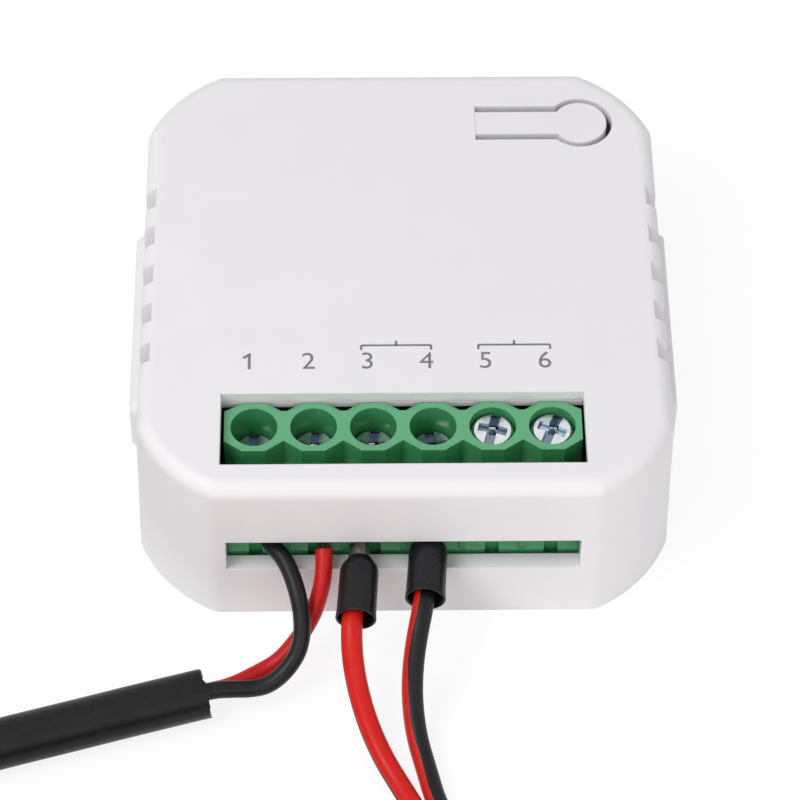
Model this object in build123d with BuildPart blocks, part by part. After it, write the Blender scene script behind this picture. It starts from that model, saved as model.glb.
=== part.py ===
from build123d import *
import os
from math import dist, hypot, pi, radians, sqrt, tan

os.makedirs("parts", exist_ok=True)

# General clearances
fit = 0.1 * MM  # between pieces that fit together
slim_fit = 0.05 * MM  # between a shaft and its hole
overrun = 1.0 * MM  # how far a cut runs past a face

# Case: an octagon with bowed corners, narrower at the top by the mould's draft
case_width = 46.6 * MM
case_depth = 49.0 * MM
case_height = 17.0 * MM
case_draft = 1.5  # degrees
front_flat = 33.0 * MM
side_flat = 34.0 * MM
corner_bow = 1.0 * MM
corner_round = 2.1 * MM
rim_round = 1.4 * MM
wall = 1.5 * MM
roof = 1.15 * MM

# Grip pads and blind grooves on the side walls
pad_length = 21.7 * MM
pad_height = 7.0 * MM
pad_middle = 7.5 * MM
pad_corner = 1.6 * MM
pad_proud = 0.72 * MM  # beyond the foot of the wall
pad_slope = 30  # degrees
pad_edge = 0.35 * MM
groove_count = 5
groove_pitch = 4.42 * MM
groove_width = 2.05 * MM
groove_depth = 1.4 * MM  # measured from the foot of the wall
groove_height = 5.5 * MM
groove_shift = -0.1 * MM

# Window over the screws and slot for the wires
opening_x = -0.2 * MM
window_width = 30.96 * MM
window_depth = 7.55 * MM
window_shift = -1.05 * MM  # from the screws
slot_width = 30.3 * MM
slot_height = 3.74 * MM
slot_middle = 8.0 * MM

# Button: a tongue with a round end, cut free in the roof
button_setback = 6.95 * MM  # from the case's side and back
button_arm_length = 9.51 * MM
button_disc = 4.9 * MM
button_ring = 5.9 * MM
button_arm = 2.7 * MM
button_slot = 0.7 * MM
button_pin = 2.2 * MM
button_pin_length = 2.8 * MM
button_gap = 0.05 * MM

# Base cover with posts, locating pins and snap tongues
base_thick = 1.6 * MM
post_height = 1.6 * MM
post_diameter = 3.2 * MM
post_setback = 6.3 * MM  # from the case's side
post_ahead = 4.75 * MM  # of the button
pin_diameter = 1.4 * MM
pin_stand = 0.5 * MM
tongue_setback = 3.2 * MM  # of its inner face, from the case's side
tongue_thick = 1.25 * MM
tongue_width = 7.0 * MM
tongue_y = 8.0 * MM
tongue_height = 5.9 * MM
barb_foot = 5.0 * MM
barb_height = 1.2 * MM
barb_depth = 0.6 * MM

# Circuit board
board_thick = 1.2 * MM
board_inset = 2.0 * MM
board_bottom = base_thick + post_height
board_top = board_bottom + board_thick

# Terminal block: its housing
pole_count = 6
pole_pitch = 5.08 * MM
block_x = -0.17 * MM
screw_setback = 8.05 * MM  # from the case's front
tower_front = 2.55 * MM  # ahead of the screws
tower_back = 2.55 * MM  # behind the screws
tower_flat = 1.96 * MM
front_notch = 1.09 * MM
back_notch = 0.82 * MM
tower_bore = 4.0 * MM
block_front = 6.1 * MM  # ahead of the screws
shelf_height = 7.1 * MM  # above the board
rib = 0.5 * MM
mouth_floor = 1.95 * MM  # above the board, at the lip's front
lip_rise = 0.5 * MM
lip_depth = 0.5 * MM
mouth_height = 3.05 * MM  # above the lip
slit_top = 1.1 * MM
slit_foot = 1.5 * MM

# Terminal block: cages, plates and screws
cage_inside = 3.2 * MM
cage_wall = 0.45 * MM
cage_floor = 0.5 * MM
cage_seat = 2.2 * MM  # its foot above the board
cage_room = 3.5 * MM
cage_roof = 0.85 * MM
cage_front = 2.45 * MM  # ahead of the screws
cage_back = 1.85 * MM
solder_pin_width = 1.0 * MM
solder_pin_thick = 0.8 * MM
solder_pin_end = 0.9 * MM  # below the board
plate_thick = 0.35 * MM
plate_length = 3.5 * MM
screw_shaft = 3.0 * MM
screw_shaft_length = 3.5 * MM
screw_head = 3.6 * MM
screw_head_height = 1.4 * MM
screw_chamfer = 0.25 * MM
slot_cut = 0.6 * MM
slot_cut_depth = 0.7 * MM
cross_cut = 2.3 * MM
screw_lifts = [0.0 * MM, 0.4 * MM, 0.5 * MM, 0.3 * MM, 2.6 * MM, 2.6 * MM]

# Conductors held in the clamps
strand_width = 2.2 * MM
strand_diameter = 0.95 * MM
ferrule_diameter = 1.8 * MM
ferrule_flat = 2.0 * MM
ferrule_shifts = [-0.55 * MM, -0.1 * MM]  # from the middle of their poles
ferrule_bend = 1.2 * MM  # beyond the collar
squash_start = 2.15 * MM  # ahead of the screws
squash_end = 1.65 * MM  # behind them
edge_softness = 0.2 * MM

# Ferrule collars
collar_neck = 2.3 * MM
collar_shoulder = 3.3 * MM
collar_mouth = 3.45 * MM
collar_length = 6.2 * MM
collar_dome = 0.8 * MM
collar_hollow = 2.7 * MM
collar_hollow_start = 2.4 * MM
collar_lip = 0.28 * MM
ferrule_start = 1.5 * MM

# Switch under the button
switch_side = 4.5 * MM
switch_height = 3.5 * MM
plunger_diameter = 3.0 * MM
plunger_sunk = 0.9 * MM
switch_bore_depth = 1.3 * MM

# Parts on the board: places, widths, depths and heights. Shares are of the board's room
# between the terminal block and the back wall.
radio_x = 7.5 * MM
radio_width = 16.0 * MM
radio_thick = 0.8 * MM
radio_front_gap = 2.9 * MM  # to the terminal block
radio_back_gap = 4.55 * MM  # to the button's middle
shield_width = 13.0 * MM
shield_height = 2.0 * MM
shield_length_share = 0.625  # of the radio board's length
shield_shift_share = -0.125  # of the radio board's length
shield_round = 0.6 * MM
transformer_x = -10.4 * MM
transformer_place_share = 0.7453
transformer_width = 11.0 * MM
transformer_length_share = 0.3252
transformer_headroom = 1.95 * MM
transformer_core = 6.0 * MM
transformer_coil = 9.0 * MM
transformer_foot = 1.2 * MM
capacitor_diameter = 6.3 * MM
capacitor_headroom = 0.45 * MM
capacitor_xs = [-1.2 * MM, 5.6 * MM]
capacitor_place_shares = [0.8266, 0.8699]
capacitor_groove = 0.3 * MM
capacitor_groove_at = 1.6 * MM
fuse_setback = 4.1 * MM  # from the snap tongues
fuse_place_share = 0.2683
fuse_diameter = 3.0 * MM
fuse_length = 7.5 * MM
fuse_neck = 2.2 * MM
varistor_x = -9.5 * MM
varistor_place_share = 0.1165
varistor_diameter = 7.0 * MM
varistor_thick = 3.4 * MM
varistor_lift = 0.8 * MM
lead_width = 0.6 * MM
bridge_shift = 6.8 * MM  # from the fuse
bridge_place_share = 0.3225
bridge_size = (4.7 * MM, 3.9 * MM, 1.7 * MM)
power_chip_x = -4.3 * MM
power_chip_place_share = 0.4688
power_chip_size = (3.9 * MM, 4.9 * MM, 1.5 * MM)
metering_chip_x = -10.7 * MM
metering_chip_place_share = 0.4797
metering_chip_size = (4.4 * MM, 5.2 * MM, 1.5 * MM)
chip_leg = 1.0 * MM
chip_leg_thick = 0.25 * MM
chip_leg_pitch = 1.27 * MM
lamp_place_share = 0.5327  # of the way from the last capacitor to the switch
lamp_shift = 0.05 * MM  # behind the button's middle
lamp_size = (1.6 * MM, 0.8 * MM, 0.7 * MM)

# Cords: sections
core_diameter = 1.5 * MM
jacket_diameter = 4.3 * MM
lead_diameter = 1.83 * MM  # of one wire of the pair
pair_width = 2 * lead_diameter
arc_share = 0.45

# Cords: routes, chosen by hand
neutral_route = [
    (-12.42, -21.2, 7.85), (-11.5, -23.1, 8.05), (-10.5, -24.95, 8.05), (-9.52, -27.05, 7.65),
    (-8.92, -29.1, 6.75), (-8.9, -30.75, 5.4), (-9.75, -32.35, 4.0), (-11.5, -33.65, 2.85),
    (-13.7, -34.25, 2.0), (-15.3, -34.3, 1.55), (-16.83, -34.72, 1.45),
]
live_route = [
    (-7.3, -21.6, 8.0), (-6.95, -23.3, 8.05), (-6.95, -25.0, 7.7), (-7.25, -26.5, 6.6),
    (-7.9, -27.9, 5.0), (-9.0, -29.3, 3.6), (-10.8, -30.9, 2.6), (-13.0, -32.4, 2.3),
    (-15.2, -33.4, 2.55), (-16.97, -34.05, 2.88),
]
supply_route = [
    (-17.16, -34.4, 2.15), (-22.4, -35.85, 2.15), (-28.2, -37.55, 2.15), (-34.2, -39.25, 2.15),
    (-41.0, -41.4, 2.15), (-48.0, -43.6, 2.15), (-54.6, -45.1, 2.15), (-60.0, -45.6, 2.15),
    (-64.9, -45.6, 2.15),
]
supply_coil_place = (-64.9, -19.75, 2.15)
supply_coil_outer = 25.85 * MM
supply_coil_pitch = 5.8 * MM
supply_coil_step = 4.8 * MM
supply_tail = [
    (-64.9, -42.7, 6.95), (-69.3, -42.7, 6.95), (-73.8, -43.9, 6.95), (-77.8, -46.3, 6.2),
    (-81.0, -49.2, 4.4), (-83.8, -52.0, 2.75), (-86.4, -54.2, 2.25),
]
supply_end_length = 6.5 * MM
red_route = [
    (-4.2, -27.4, 7.8), (-4.36, -29.4, 7.7), (-4.5, -31.5, 7.3), (-4.45, -33.4, 6.0),
    (-4.1, -35.4, 4.3), (-3.35, -37.9, 2.7), (-2.1, -40.5, 1.45), (-0.65, -43.0, 0.95),
    (0.67, -45.5, 0.95), (1.747, -47.883, 0.95),
]
black_route = [
    (1.77, -25.7, 7.8), (1.65, -27.6, 7.7), (1.35, -29.6, 7.5), (0.9, -31.5, 6.6),
    (0.5, -33.5, 4.9), (0.4, -35.8, 3.1), (0.75, -38.6, 1.75), (1.55, -41.5, 1.1),
    (2.3, -44.6, 0.95), (3.453, -47.117, 0.95),
]
pair_route = [
    (2.6, -47.5, 1.87), (4.35, -51.4, 1.87), (5.4, -55.9, 1.87), (5.72, -60.8, 1.87),
    (5.45, -65.9, 1.87), (5.0, -71.0, 1.87), (5.0, -76.0, 1.87),
]
pair_coil_place = (-19.6, -76.0, 1.87)
pair_coil_outer = 24.6 * MM
pair_coil_pitch = 4.95 * MM
pair_coil_step = 4.15 * MM
pair_tail = [
    (-44.2, -76.0, 6.02), (-44.2, -71.6, 6.02), (-44.0, -65.8, 6.06), (-44.0, -59.45, 6.1),
    (-46.55, -55.05, 6.1), (-50.95, -52.5, 6.1), (-56.05, -52.5, 6.1), (-60.45, -55.05, 6.1),
    (-63.0, -59.45, 6.1), (-63.0, -66.0, 6.1),
]

# Ferrule collars: ends of their middle lines, on the way of the two wires of the pair
collar_tips = [(-4.0, -24.15, 8.0), (2.0, -22.45, 8.0)]
collar_mouths = [(-4.42, -30.3, 7.62), (1.58, -28.6, 7.62)]

# Current clamp: lies on its broad side, its base end towards the module
clamp_place = (-63.0 * MM, -64.0 * MM, 0)
clamp_width = 27.0 * MM
clamp_length = 38.0 * MM
clamp_height = 24.0 * MM
clamp_corner = 3.0 * MM
clamp_edge = 0.8 * MM
jaw_start = 24.0 * MM
aperture = 10.4 * MM
jaw_lift = 0.3 * MM
core_reach = 10.6 * MM
core_leg = 4.0 * MM
core_start = 5.0 * MM
core_jaw = 11.0 * MM
core_height = 10.0 * MM
winding_reach = 5.4 * MM
winding_thick = 2.2 * MM
hinge_out = 1.0 * MM  # from the side of the clamp
knuckle = 3.8 * MM
knuckle_height = 6.2 * MM
hinge_pin = 2.0 * MM
latch_width = 8.0 * MM
latch_thick = 1.2 * MM
latch_reach = 6.0 * MM
latch_recess = 0.4 * MM
latch_bump = 0.2 * MM
exit_height = 6.1 * MM
exit_depth = 2.0 * MM

# Values that follow from the ones above
roof_underside = case_height - roof
wall_middle = case_width / 2 - wall / 2
screw_y = screw_setback - case_depth / 2
window_y = screw_y + window_shift
button_x = case_width / 2 - button_setback
button_y = case_depth / 2 - button_setback
button_root = button_x - button_arm_length
post_x = case_width / 2 - post_setback
post_y = button_y - post_ahead
tongue_x = case_width / 2 - tongue_setback
block_width = pole_count * pole_pitch
cage_foot_z = board_top + cage_seat
cage_floor_z = cage_foot_z + cage_floor
cage_roof_z = cage_floor_z + cage_room
thread_top_z = cage_roof_z + cage_roof
lip_z = board_top + mouth_floor + lip_rise
lowest_tip_z = thread_top_z - screw_shaft_length
lowest_squash = lowest_tip_z - plate_thick - cage_floor_z
layout_start = screw_y + tower_back
layout_room = case_depth / 2 - wall - layout_start
radio_front = layout_start + radio_front_gap
radio_length = button_y - radio_back_gap - radio_front
radio_place = (radio_x, radio_front + radio_length / 2)
transformer_length = transformer_length_share * layout_room
transformer_place = (transformer_x, layout_start + transformer_place_share * layout_room)
transformer_height = roof_underside - board_top - transformer_headroom
capacitor_height = roof_underside - board_top - capacitor_headroom
capacitor_places = [
    (x, layout_start + place_share * layout_room)
    for x, place_share in zip(capacitor_xs, capacitor_place_shares)
]
fuse_place = (fuse_setback - tongue_x, layout_start + fuse_place_share * layout_room)
varistor_place = (varistor_x, layout_start + varistor_place_share * layout_room)
bridge_place = (fuse_place[0] + bridge_shift, layout_start + bridge_place_share * layout_room)
power_chip_place = (power_chip_x, layout_start + power_chip_place_share * layout_room)
metering_chip_place = (metering_chip_x, layout_start + metering_chip_place_share * layout_room)
lamp_start = capacitor_xs[-1] + capacitor_diameter / 2
lamp_end = button_x - switch_side / 2
lamp_place = (lamp_start + lamp_place_share * (lamp_end - lamp_start), button_y + lamp_shift)


def pole_x(pole):
    """Place across the case of one pole's screw."""
    return block_x + (pole - (pole_count - 1) / 2) * pole_pitch


def plan_outline(inset):
    """The case's outline seen from above, drawn in by inset."""
    half_width = case_width / 2
    half_depth = case_depth / 2
    run_x = half_width - front_flat / 2
    run_y = half_depth - side_flat / 2
    chord = hypot(run_x, run_y)
    bow_x = half_width - run_x / 2 + corner_bow * run_y / chord
    bow_y = half_depth - run_y / 2 + corner_bow * run_x / chord
    with BuildSketch(mode=Mode.PRIVATE) as outline:
        with BuildLine():
            for side in (1, -1):
                side_foot = (side * half_width, -side * side_flat / 2)
                side_head = (side * half_width, side * side_flat / 2)
                back_start = (side * front_flat / 2, side * half_depth)
                back_end = (-side * front_flat / 2, side * half_depth)
                next_side = (-side * half_width, side * side_flat / 2)
                Line(side_foot, side_head)
                ThreePointArc(side_head, (side * bow_x, side * bow_y), back_start)
                Line(back_start, back_end)
                ThreePointArc(back_end, (-side * bow_x, side * bow_y), next_side)
        make_face()
        fillet(outline.vertices(), corner_round)
        if inset > 0:
            offset(amount=-inset)
    return outline.sketch


def route_radii(route):
    """The radius at each corner of a cord's route, as large as its two runs allow."""
    radii = []
    for before, corner, after in zip(route, route[1:], route[2:]):
        run_in = Vector(corner) - Vector(before)
        run_out = Vector(after) - Vector(corner)
        half_turn = radians(run_in.get_angle(run_out)) / 2
        radii.append(arc_share * min(run_in.length, run_out.length) / tan(half_turn))
    return radii


def cord_section_plane(line):
    """The plane square to a cord's line at its start."""
    return Plane(origin=line @ 0, z_dir=line % 0)


# Top cover: a deep shell with a window, a wire slot, blind side grooves and grip pads
with BuildPart() as top_cover:
    with BuildSketch():
        add(plan_outline(0))
    extrude(amount=case_height, taper=case_draft)
    fillet(top_cover.faces().sort_by(Axis.Z)[-1].edges(), rim_round)
    for side in (1, -1):
        pad_plane = Plane(
            origin=(side * wall_middle, 0, pad_middle), x_dir=(0, side, 0), z_dir=(side, 0, 0)
        )
        with BuildSketch(pad_plane):
            RectangleRounded(pad_length, pad_height, pad_corner)
        extrude(amount=wall / 2 + pad_proud, taper=pad_slope)
        pad_face = top_cover.faces().filter_by(Axis.X).sort_by(Axis.X)[-1 if side > 0 else 0]
        fillet(pad_face.edges(), pad_edge)
    with BuildSketch():
        add(plan_outline(wall))
    extrude(amount=roof_underside, taper=case_draft, mode=Mode.SUBTRACT)
    with BuildSketch(Plane.XY.offset(case_height - groove_height)):
        for side in (1, -1):
            for groove in range(groove_count):
                groove_y = groove_shift + (groove - (groove_count - 1) / 2) * groove_pitch
                with Locations((side * (case_width / 2 + overrun - groove_depth / 2), groove_y)):
                    Rectangle(groove_depth + 2 * overrun, groove_width)
    extrude(amount=groove_height + overrun, mode=Mode.SUBTRACT)
    with BuildSketch(Plane.XY.offset(roof_underside - overrun)):
        with Locations((opening_x, window_y)):
            Rectangle(window_width, window_depth)
        with Locations((button_x, button_y)):
            Circle(button_ring / 2)
        with Locations(((button_x + button_root) / 2, button_y)):
            Rectangle(button_x - button_root, button_arm + 2 * button_slot)
    extrude(amount=roof + 2 * overrun, mode=Mode.SUBTRACT)
    with BuildSketch(Plane.XZ.offset(case_depth / 2 + overrun)):
        with Locations((opening_x, slot_middle)):
            Rectangle(slot_width, slot_height)
    extrude(amount=-(wall + 2 * overrun), mode=Mode.SUBTRACT)
    with BuildSketch(Plane.XY.offset(barb_foot - fit)):
        with GridLocations(2 * (tongue_x + tongue_thick), 2 * tongue_y, 2, 2):
            Rectangle(2 * (barb_depth + fit), tongue_width + 2 * fit)
    extrude(amount=barb_height + 2 * fit, mode=Mode.SUBTRACT)
top_cover.part.label = "top_cover"
export_step(top_cover.part, "parts/top_cover.step")

# Button: the tongue and its round end, with the pin that reaches down to the switch
with BuildPart() as button_tab:
    with BuildSketch(Plane.XY.offset(roof_underside)):
        with Locations((button_x, button_y)):
            Circle(button_disc / 2)
        with Locations(((button_x + button_root) / 2, button_y)):
            Rectangle(button_x - button_root, button_arm)
    extrude(amount=roof)
    with BuildSketch(Plane.XY.offset(roof_underside)):
        with Locations((button_x, button_y)):
            Circle(button_pin / 2)
    extrude(amount=-button_pin_length)
button_tab.part.label = "button_tab"
export_step(button_tab.part, "parts/button_tab.step")

# Base cover: sits inside the rim of the top cover and snaps into its side walls
with BuildPart() as base_cover:
    with BuildSketch():
        add(plan_outline(wall + fit))
    extrude(amount=base_thick)
    with BuildSketch(Plane.XY.offset(base_thick)):
        with GridLocations(2 * post_x, 2 * post_y, 2, 2):
            Circle(post_diameter / 2)
    extrude(amount=post_height)
    with BuildSketch(Plane.XY.offset(board_bottom)):
        with GridLocations(2 * post_x, 2 * post_y, 2, 2):
            Circle(pin_diameter / 2)
    extrude(amount=board_thick + pin_stand)
    with BuildSketch(Plane.XY.offset(base_thick)):
        with GridLocations(2 * tongue_x + tongue_thick, 2 * tongue_y, 2, 2):
            Rectangle(tongue_thick, tongue_width)
    extrude(amount=tongue_height)
    for side in (1, -1):
        for end in (1, -1):
            barb_plane = Plane(
                origin=(side * (tongue_x + tongue_thick), end * tongue_y, barb_foot),
                x_dir=(side, 0, 0),
                z_dir=(0, -side, 0),
            )
            with BuildSketch(barb_plane):
                with BuildLine():
                    Polyline((0, 0), (barb_depth, 0), (0, barb_height), close=True)
                make_face()
            extrude(amount=tongue_width / 2, both=True)
base_cover.part.label = "base_cover"
export_step(base_cover.part, "parts/base_cover.step")

# Circuit board: follows the case, with notches for the snap tongues and holes for pins
with BuildPart() as circuit_board:
    with BuildSketch(Plane.XY.offset(board_bottom)):
        add(plan_outline(board_inset))
        with GridLocations(2 * (tongue_x - fit) + wall + tongue_thick, 2 * tongue_y, 2, 2):
            Rectangle(wall + tongue_thick, tongue_width + 4 * fit, mode=Mode.SUBTRACT)
        with GridLocations(2 * post_x, 2 * post_y, 2, 2):
            Circle(pin_diameter / 2 + fit, mode=Mode.SUBTRACT)
        for pole in range(pole_count):
            with Locations((pole_x(pole), screw_y)):
                Rectangle(solder_pin_width + 2 * fit, solder_pin_thick + 2 * fit, mode=Mode.SUBTRACT)
    extrude(amount=board_thick)
circuit_board.part.label = "circuit_board"
export_step(circuit_board.part, "parts/circuit_board.step")

# Terminal housing: six towers with notched outline over a body with six funnel mouths
with BuildPart() as terminal_housing:
    with BuildSketch(Plane.XY.offset(board_top)):
        with Locations((block_x, screw_y + (tower_back - block_front) / 2)):
            Rectangle(block_width, block_front + tower_back)
        for pole in range(1, pole_count):
            with Locations((pole_x(pole) - pole_pitch / 2, screw_y + tower_back)):
                Rectangle(pole_pitch - tower_flat, 2 * back_notch, mode=Mode.SUBTRACT)
    extrude(amount=shelf_height)
    with BuildSketch(Plane.XY.offset(board_top)):
        with BuildLine():
            for pole in range(pole_count):
                x = pole_x(pole)
                Polyline(
                    (x - pole_pitch / 2, screw_y - tower_front + front_notch),
                    (x - tower_flat / 2, screw_y - tower_front),
                    (x + tower_flat / 2, screw_y - tower_front),
                    (x + pole_pitch / 2, screw_y - tower_front + front_notch),
                )
                Line((x - tower_flat / 2, screw_y + tower_back), (x + tower_flat / 2, screw_y + tower_back))
                if pole > 0:
                    ThreePointArc(
                        (x - tower_flat / 2, screw_y + tower_back),
                        (x - pole_pitch / 2, screw_y + tower_back - back_notch),
                        (x - pole_pitch + tower_flat / 2, screw_y + tower_back),
                    )
            for side in (1, -1):
                Polyline(
                    (block_x + side * block_width / 2, screw_y - tower_front + front_notch),
                    (block_x + side * block_width / 2, screw_y + tower_back - back_notch),
                    (block_x + side * (block_width - pole_pitch + tower_flat) / 2, screw_y + tower_back),
                )
        make_face()
    extrude(amount=roof_underside - board_top)
    with BuildSketch(Plane.XY.offset(cage_roof_z)):
        for pole in range(pole_count):
            with Locations((pole_x(pole), screw_y)):
                Circle(tower_bore / 2)
    extrude(amount=case_height - cage_roof_z, mode=Mode.SUBTRACT)
    with BuildSketch(Plane.XY.offset(cage_foot_z - slim_fit)):
        for pole in range(pole_count):
            with Locations((pole_x(pole), screw_y + (cage_back - cage_front) / 2)):
                Rectangle(cage_inside + 2 * (cage_wall + slim_fit), cage_front + cage_back + 2 * slim_fit)
    extrude(amount=thread_top_z - cage_foot_z + 2 * slim_fit, mode=Mode.SUBTRACT)
    with BuildSketch(Plane.XY.offset(board_top)):
        for pole in range(pole_count):
            with Locations((pole_x(pole), screw_y)):
                Rectangle(solder_pin_width + 2 * fit, solder_pin_thick + 2 * fit)
    extrude(amount=cage_seat, mode=Mode.SUBTRACT)
    for pole in range(pole_count):
        x = pole_x(pole)
        mouth_plane = Plane.XZ.offset(block_front - lip_depth - screw_y)
        with BuildSketch(mouth_plane):
            with Locations((x, lip_z + mouth_height / 2)):
                Rectangle(pole_pitch - rib, mouth_height)
        with BuildSketch(Plane.XZ.offset(cage_front - screw_y)):
            with Locations((x, (cage_floor_z + lip_z + mouth_height) / 2)):
                Rectangle(cage_inside, lip_z + mouth_height - cage_floor_z)
        loft(mode=Mode.SUBTRACT)
        lip_plane = Plane(
            origin=(x, screw_y - block_front, lip_z), x_dir=(0, 1, 0), z_dir=(1, 0, 0)
        )
        with BuildSketch(lip_plane):
            with BuildLine():
                Polyline(
                    (0, -lip_rise), (lip_depth, 0), (lip_depth, mouth_height),
                    (0, mouth_height + lip_rise), close=True,
                )
            make_face()
        extrude(amount=(pole_pitch - rib) / 2, both=True, mode=Mode.SUBTRACT)
        slit_plane = Plane.XZ.offset(block_front - screw_y)
        with BuildSketch(slit_plane):
            with BuildLine():
                Polyline(
                    (x - slit_foot / 2, board_top), (x + slit_foot / 2, board_top),
                    (x + slit_top / 2, lip_z), (x - slit_top / 2, lip_z), close=True,
                )
            make_face()
        extrude(amount=-lip_depth, mode=Mode.SUBTRACT)
terminal_housing.part.label = "terminal_housing"
export_step(terminal_housing.part, "parts/terminal_housing.step")

# Terminal cages: a folded box open to the front and back, threaded roof, solder pin below
with BuildPart() as terminal_cages:
    for pole in range(pole_count):
        x = pole_x(pole)
        with BuildSketch(Plane.XZ.offset(cage_front - screw_y)):
            with Locations((x, (cage_foot_z + thread_top_z) / 2)):
                Rectangle(cage_inside + 2 * cage_wall, thread_top_z - cage_foot_z)
            with Locations((x, (cage_floor_z + cage_roof_z) / 2)):
                Rectangle(cage_inside, cage_room, mode=Mode.SUBTRACT)
        extrude(amount=-(cage_front + cage_back))
        with BuildSketch(Plane.XY.offset(cage_roof_z)):
            with Locations((x, screw_y)):
                Circle(screw_shaft / 2 + slim_fit)
        extrude(amount=cage_roof, mode=Mode.SUBTRACT)
        with BuildSketch(Plane.XY.offset(board_bottom - solder_pin_end)):
            with Locations((x, screw_y)):
                Rectangle(solder_pin_width, solder_pin_thick)
        extrude(amount=cage_foot_z - board_bottom + solder_pin_end)
terminal_cages.part.label = "terminal_cages"
export_step(terminal_cages.part, "parts/terminal_cages.step")

# Clamp plates and screws: each plate hangs under its screw's tip
for pole in range(pole_count):
    tip_z = lowest_tip_z + screw_lifts[pole]
    with BuildPart() as clamp_plate:
        with BuildSketch(Plane.XY.offset(tip_z)):
            with Locations((pole_x(pole), screw_y)):
                RectangleRounded(cage_inside - 2 * slim_fit, plate_length, edge_softness)
        extrude(amount=-plate_thick)
    clamp_plate.part.label = f"clamp_plate_{pole + 1}"
    export_step(clamp_plate.part, f"parts/clamp_plate_{pole + 1}.step")

    with BuildPart() as terminal_screw:
        with BuildSketch(Plane.XY.offset(tip_z)):
            with Locations((pole_x(pole), screw_y)):
                Circle(screw_shaft / 2)
        extrude(amount=screw_shaft_length)
        with BuildSketch(Plane.XY.offset(tip_z + screw_shaft_length)):
            with Locations((pole_x(pole), screw_y)):
                Circle(screw_head / 2)
        extrude(amount=screw_head_height)
        chamfer(terminal_screw.faces().sort_by(Axis.Z)[-1].edges(), screw_chamfer)
        head_top = tip_z + screw_shaft_length + screw_head_height
        with BuildSketch(Plane.XY.offset(head_top)):
            with Locations((pole_x(pole), screw_y)):
                Rectangle(screw_head, slot_cut)
                Rectangle(slot_cut, cross_cut)
        extrude(amount=-slot_cut_depth, mode=Mode.SUBTRACT)
    terminal_screw.part.label = f"terminal_screw_{pole + 1}"
    export_step(terminal_screw.part, f"parts/terminal_screw_{pole + 1}.step")

# Bare strands of the two supply cores, pressed flat under their plates
strand_starts = {"neutral_strands": (0, neutral_route[0]), "live_strands": (1, live_route[0])}
for name, (pole, start) in strand_starts.items():
    squash = lowest_squash + screw_lifts[pole]
    with BuildPart() as strands:
        with BuildSketch(Plane.XZ.offset(squash_start - screw_y)):
            with Locations((pole_x(pole), cage_floor_z + squash / 2)):
                RectangleRounded(strand_width, squash, edge_softness)
        extrude(amount=-(squash_start + squash_end))
        with BuildSketch(Plane.XZ.offset(-start[1])):
            with Locations((pole_x(pole), cage_floor_z + strand_diameter / 2)):
                Circle(strand_diameter / 2)
        extrude(amount=-(screw_y - squash_start - start[1]))
    strands.part.label = name
    export_step(strands.part, f"parts/{name}.step")

# Ferrules: a metal tube, pressed flat in the clamp, in a plastic collar with an open mouth
for number, pole in enumerate(range(2, 4)):
    tip = Vector(*collar_tips[number])
    axis = (Vector(*collar_mouths[number]) - tip).normalized()
    squash = lowest_squash + screw_lifts[pole]
    with BuildPart() as ferrule_collar:
        with BuildSketch(Plane(origin=tip, x_dir=axis, z_dir=axis.cross(Vector(0, 0, 1)))):
            with BuildLine():
                Line((0, ferrule_diameter / 2 + slim_fit), (0, collar_neck / 2))
                ThreePointArc(
                    (0, collar_neck / 2),
                    (collar_dome * (1 - sqrt(0.5)), collar_neck / 2
                     + (collar_shoulder - collar_neck) / 2 * sqrt(0.5)),
                    (collar_dome, collar_shoulder / 2),
                )
                Polyline(
                    (collar_dome, collar_shoulder / 2),
                    (collar_length, collar_mouth / 2),
                    (collar_length, collar_mouth / 2 - collar_lip),
                    (collar_hollow_start, collar_hollow / 2),
                    (collar_hollow_start, ferrule_diameter / 2 + slim_fit),
                    (0, ferrule_diameter / 2 + slim_fit),
                )
            make_face()
        revolve(axis=Axis(tip, axis))
    ferrule_collar.part.label = f"ferrule_collar_{number + 1}"
    export_step(ferrule_collar.part, f"parts/ferrule_collar_{number + 1}.step")

    entry = Vector(pole_x(pole) + ferrule_shifts[number], screw_y - squash_start, tip.Z)
    inner = tip + axis * ferrule_start
    bend = tip - axis * ferrule_bend
    with BuildPart() as ferrule_tube:
        with BuildLine() as tube_line:
            FilletPolyline(inner, bend, entry, radius=route_radii([inner, bend, entry]))
        with BuildSketch(cord_section_plane(tube_line.wire())):
            Circle(ferrule_diameter / 2)
        sweep()
        with BuildSketch(Plane.XZ.offset(squash_start - screw_y)):
            with Locations((entry.X, cage_floor_z + squash / 2)):
                RectangleRounded(ferrule_flat, squash, edge_softness)
        extrude(amount=-(squash_start + squash_end))
    ferrule_tube.part.label = f"ferrule_tube_{number + 1}"
    export_step(ferrule_tube.part, f"parts/ferrule_tube_{number + 1}.step")

# Switch under the button: body with a bore, plunger with a long stem
with BuildPart() as tact_switch_body:
    with BuildSketch(Plane.XY.offset(board_top)):
        with Locations((button_x, button_y)):
            Rectangle(switch_side, switch_side)
    extrude(amount=switch_height)
    with BuildSketch(Plane.XY.offset(board_top + switch_height)):
        with Locations((button_x, button_y)):
            Circle(plunger_diameter / 2 + slim_fit)
    extrude(amount=-switch_bore_depth, mode=Mode.SUBTRACT)
tact_switch_body.part.label = "tact_switch_body"
export_step(tact_switch_body.part, "parts/tact_switch_body.step")

with BuildPart() as tact_switch_plunger:
    with BuildSketch(Plane.XY.offset(board_top + switch_height - plunger_sunk)):
        with Locations((button_x, button_y)):
            Circle(plunger_diameter / 2)
    extrude(amount=roof_underside - button_pin_length - button_gap - board_top - switch_height + plunger_sunk)
tact_switch_plunger.part.label = "tact_switch_plunger"
export_step(tact_switch_plunger.part, "parts/tact_switch_plunger.step")

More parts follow.
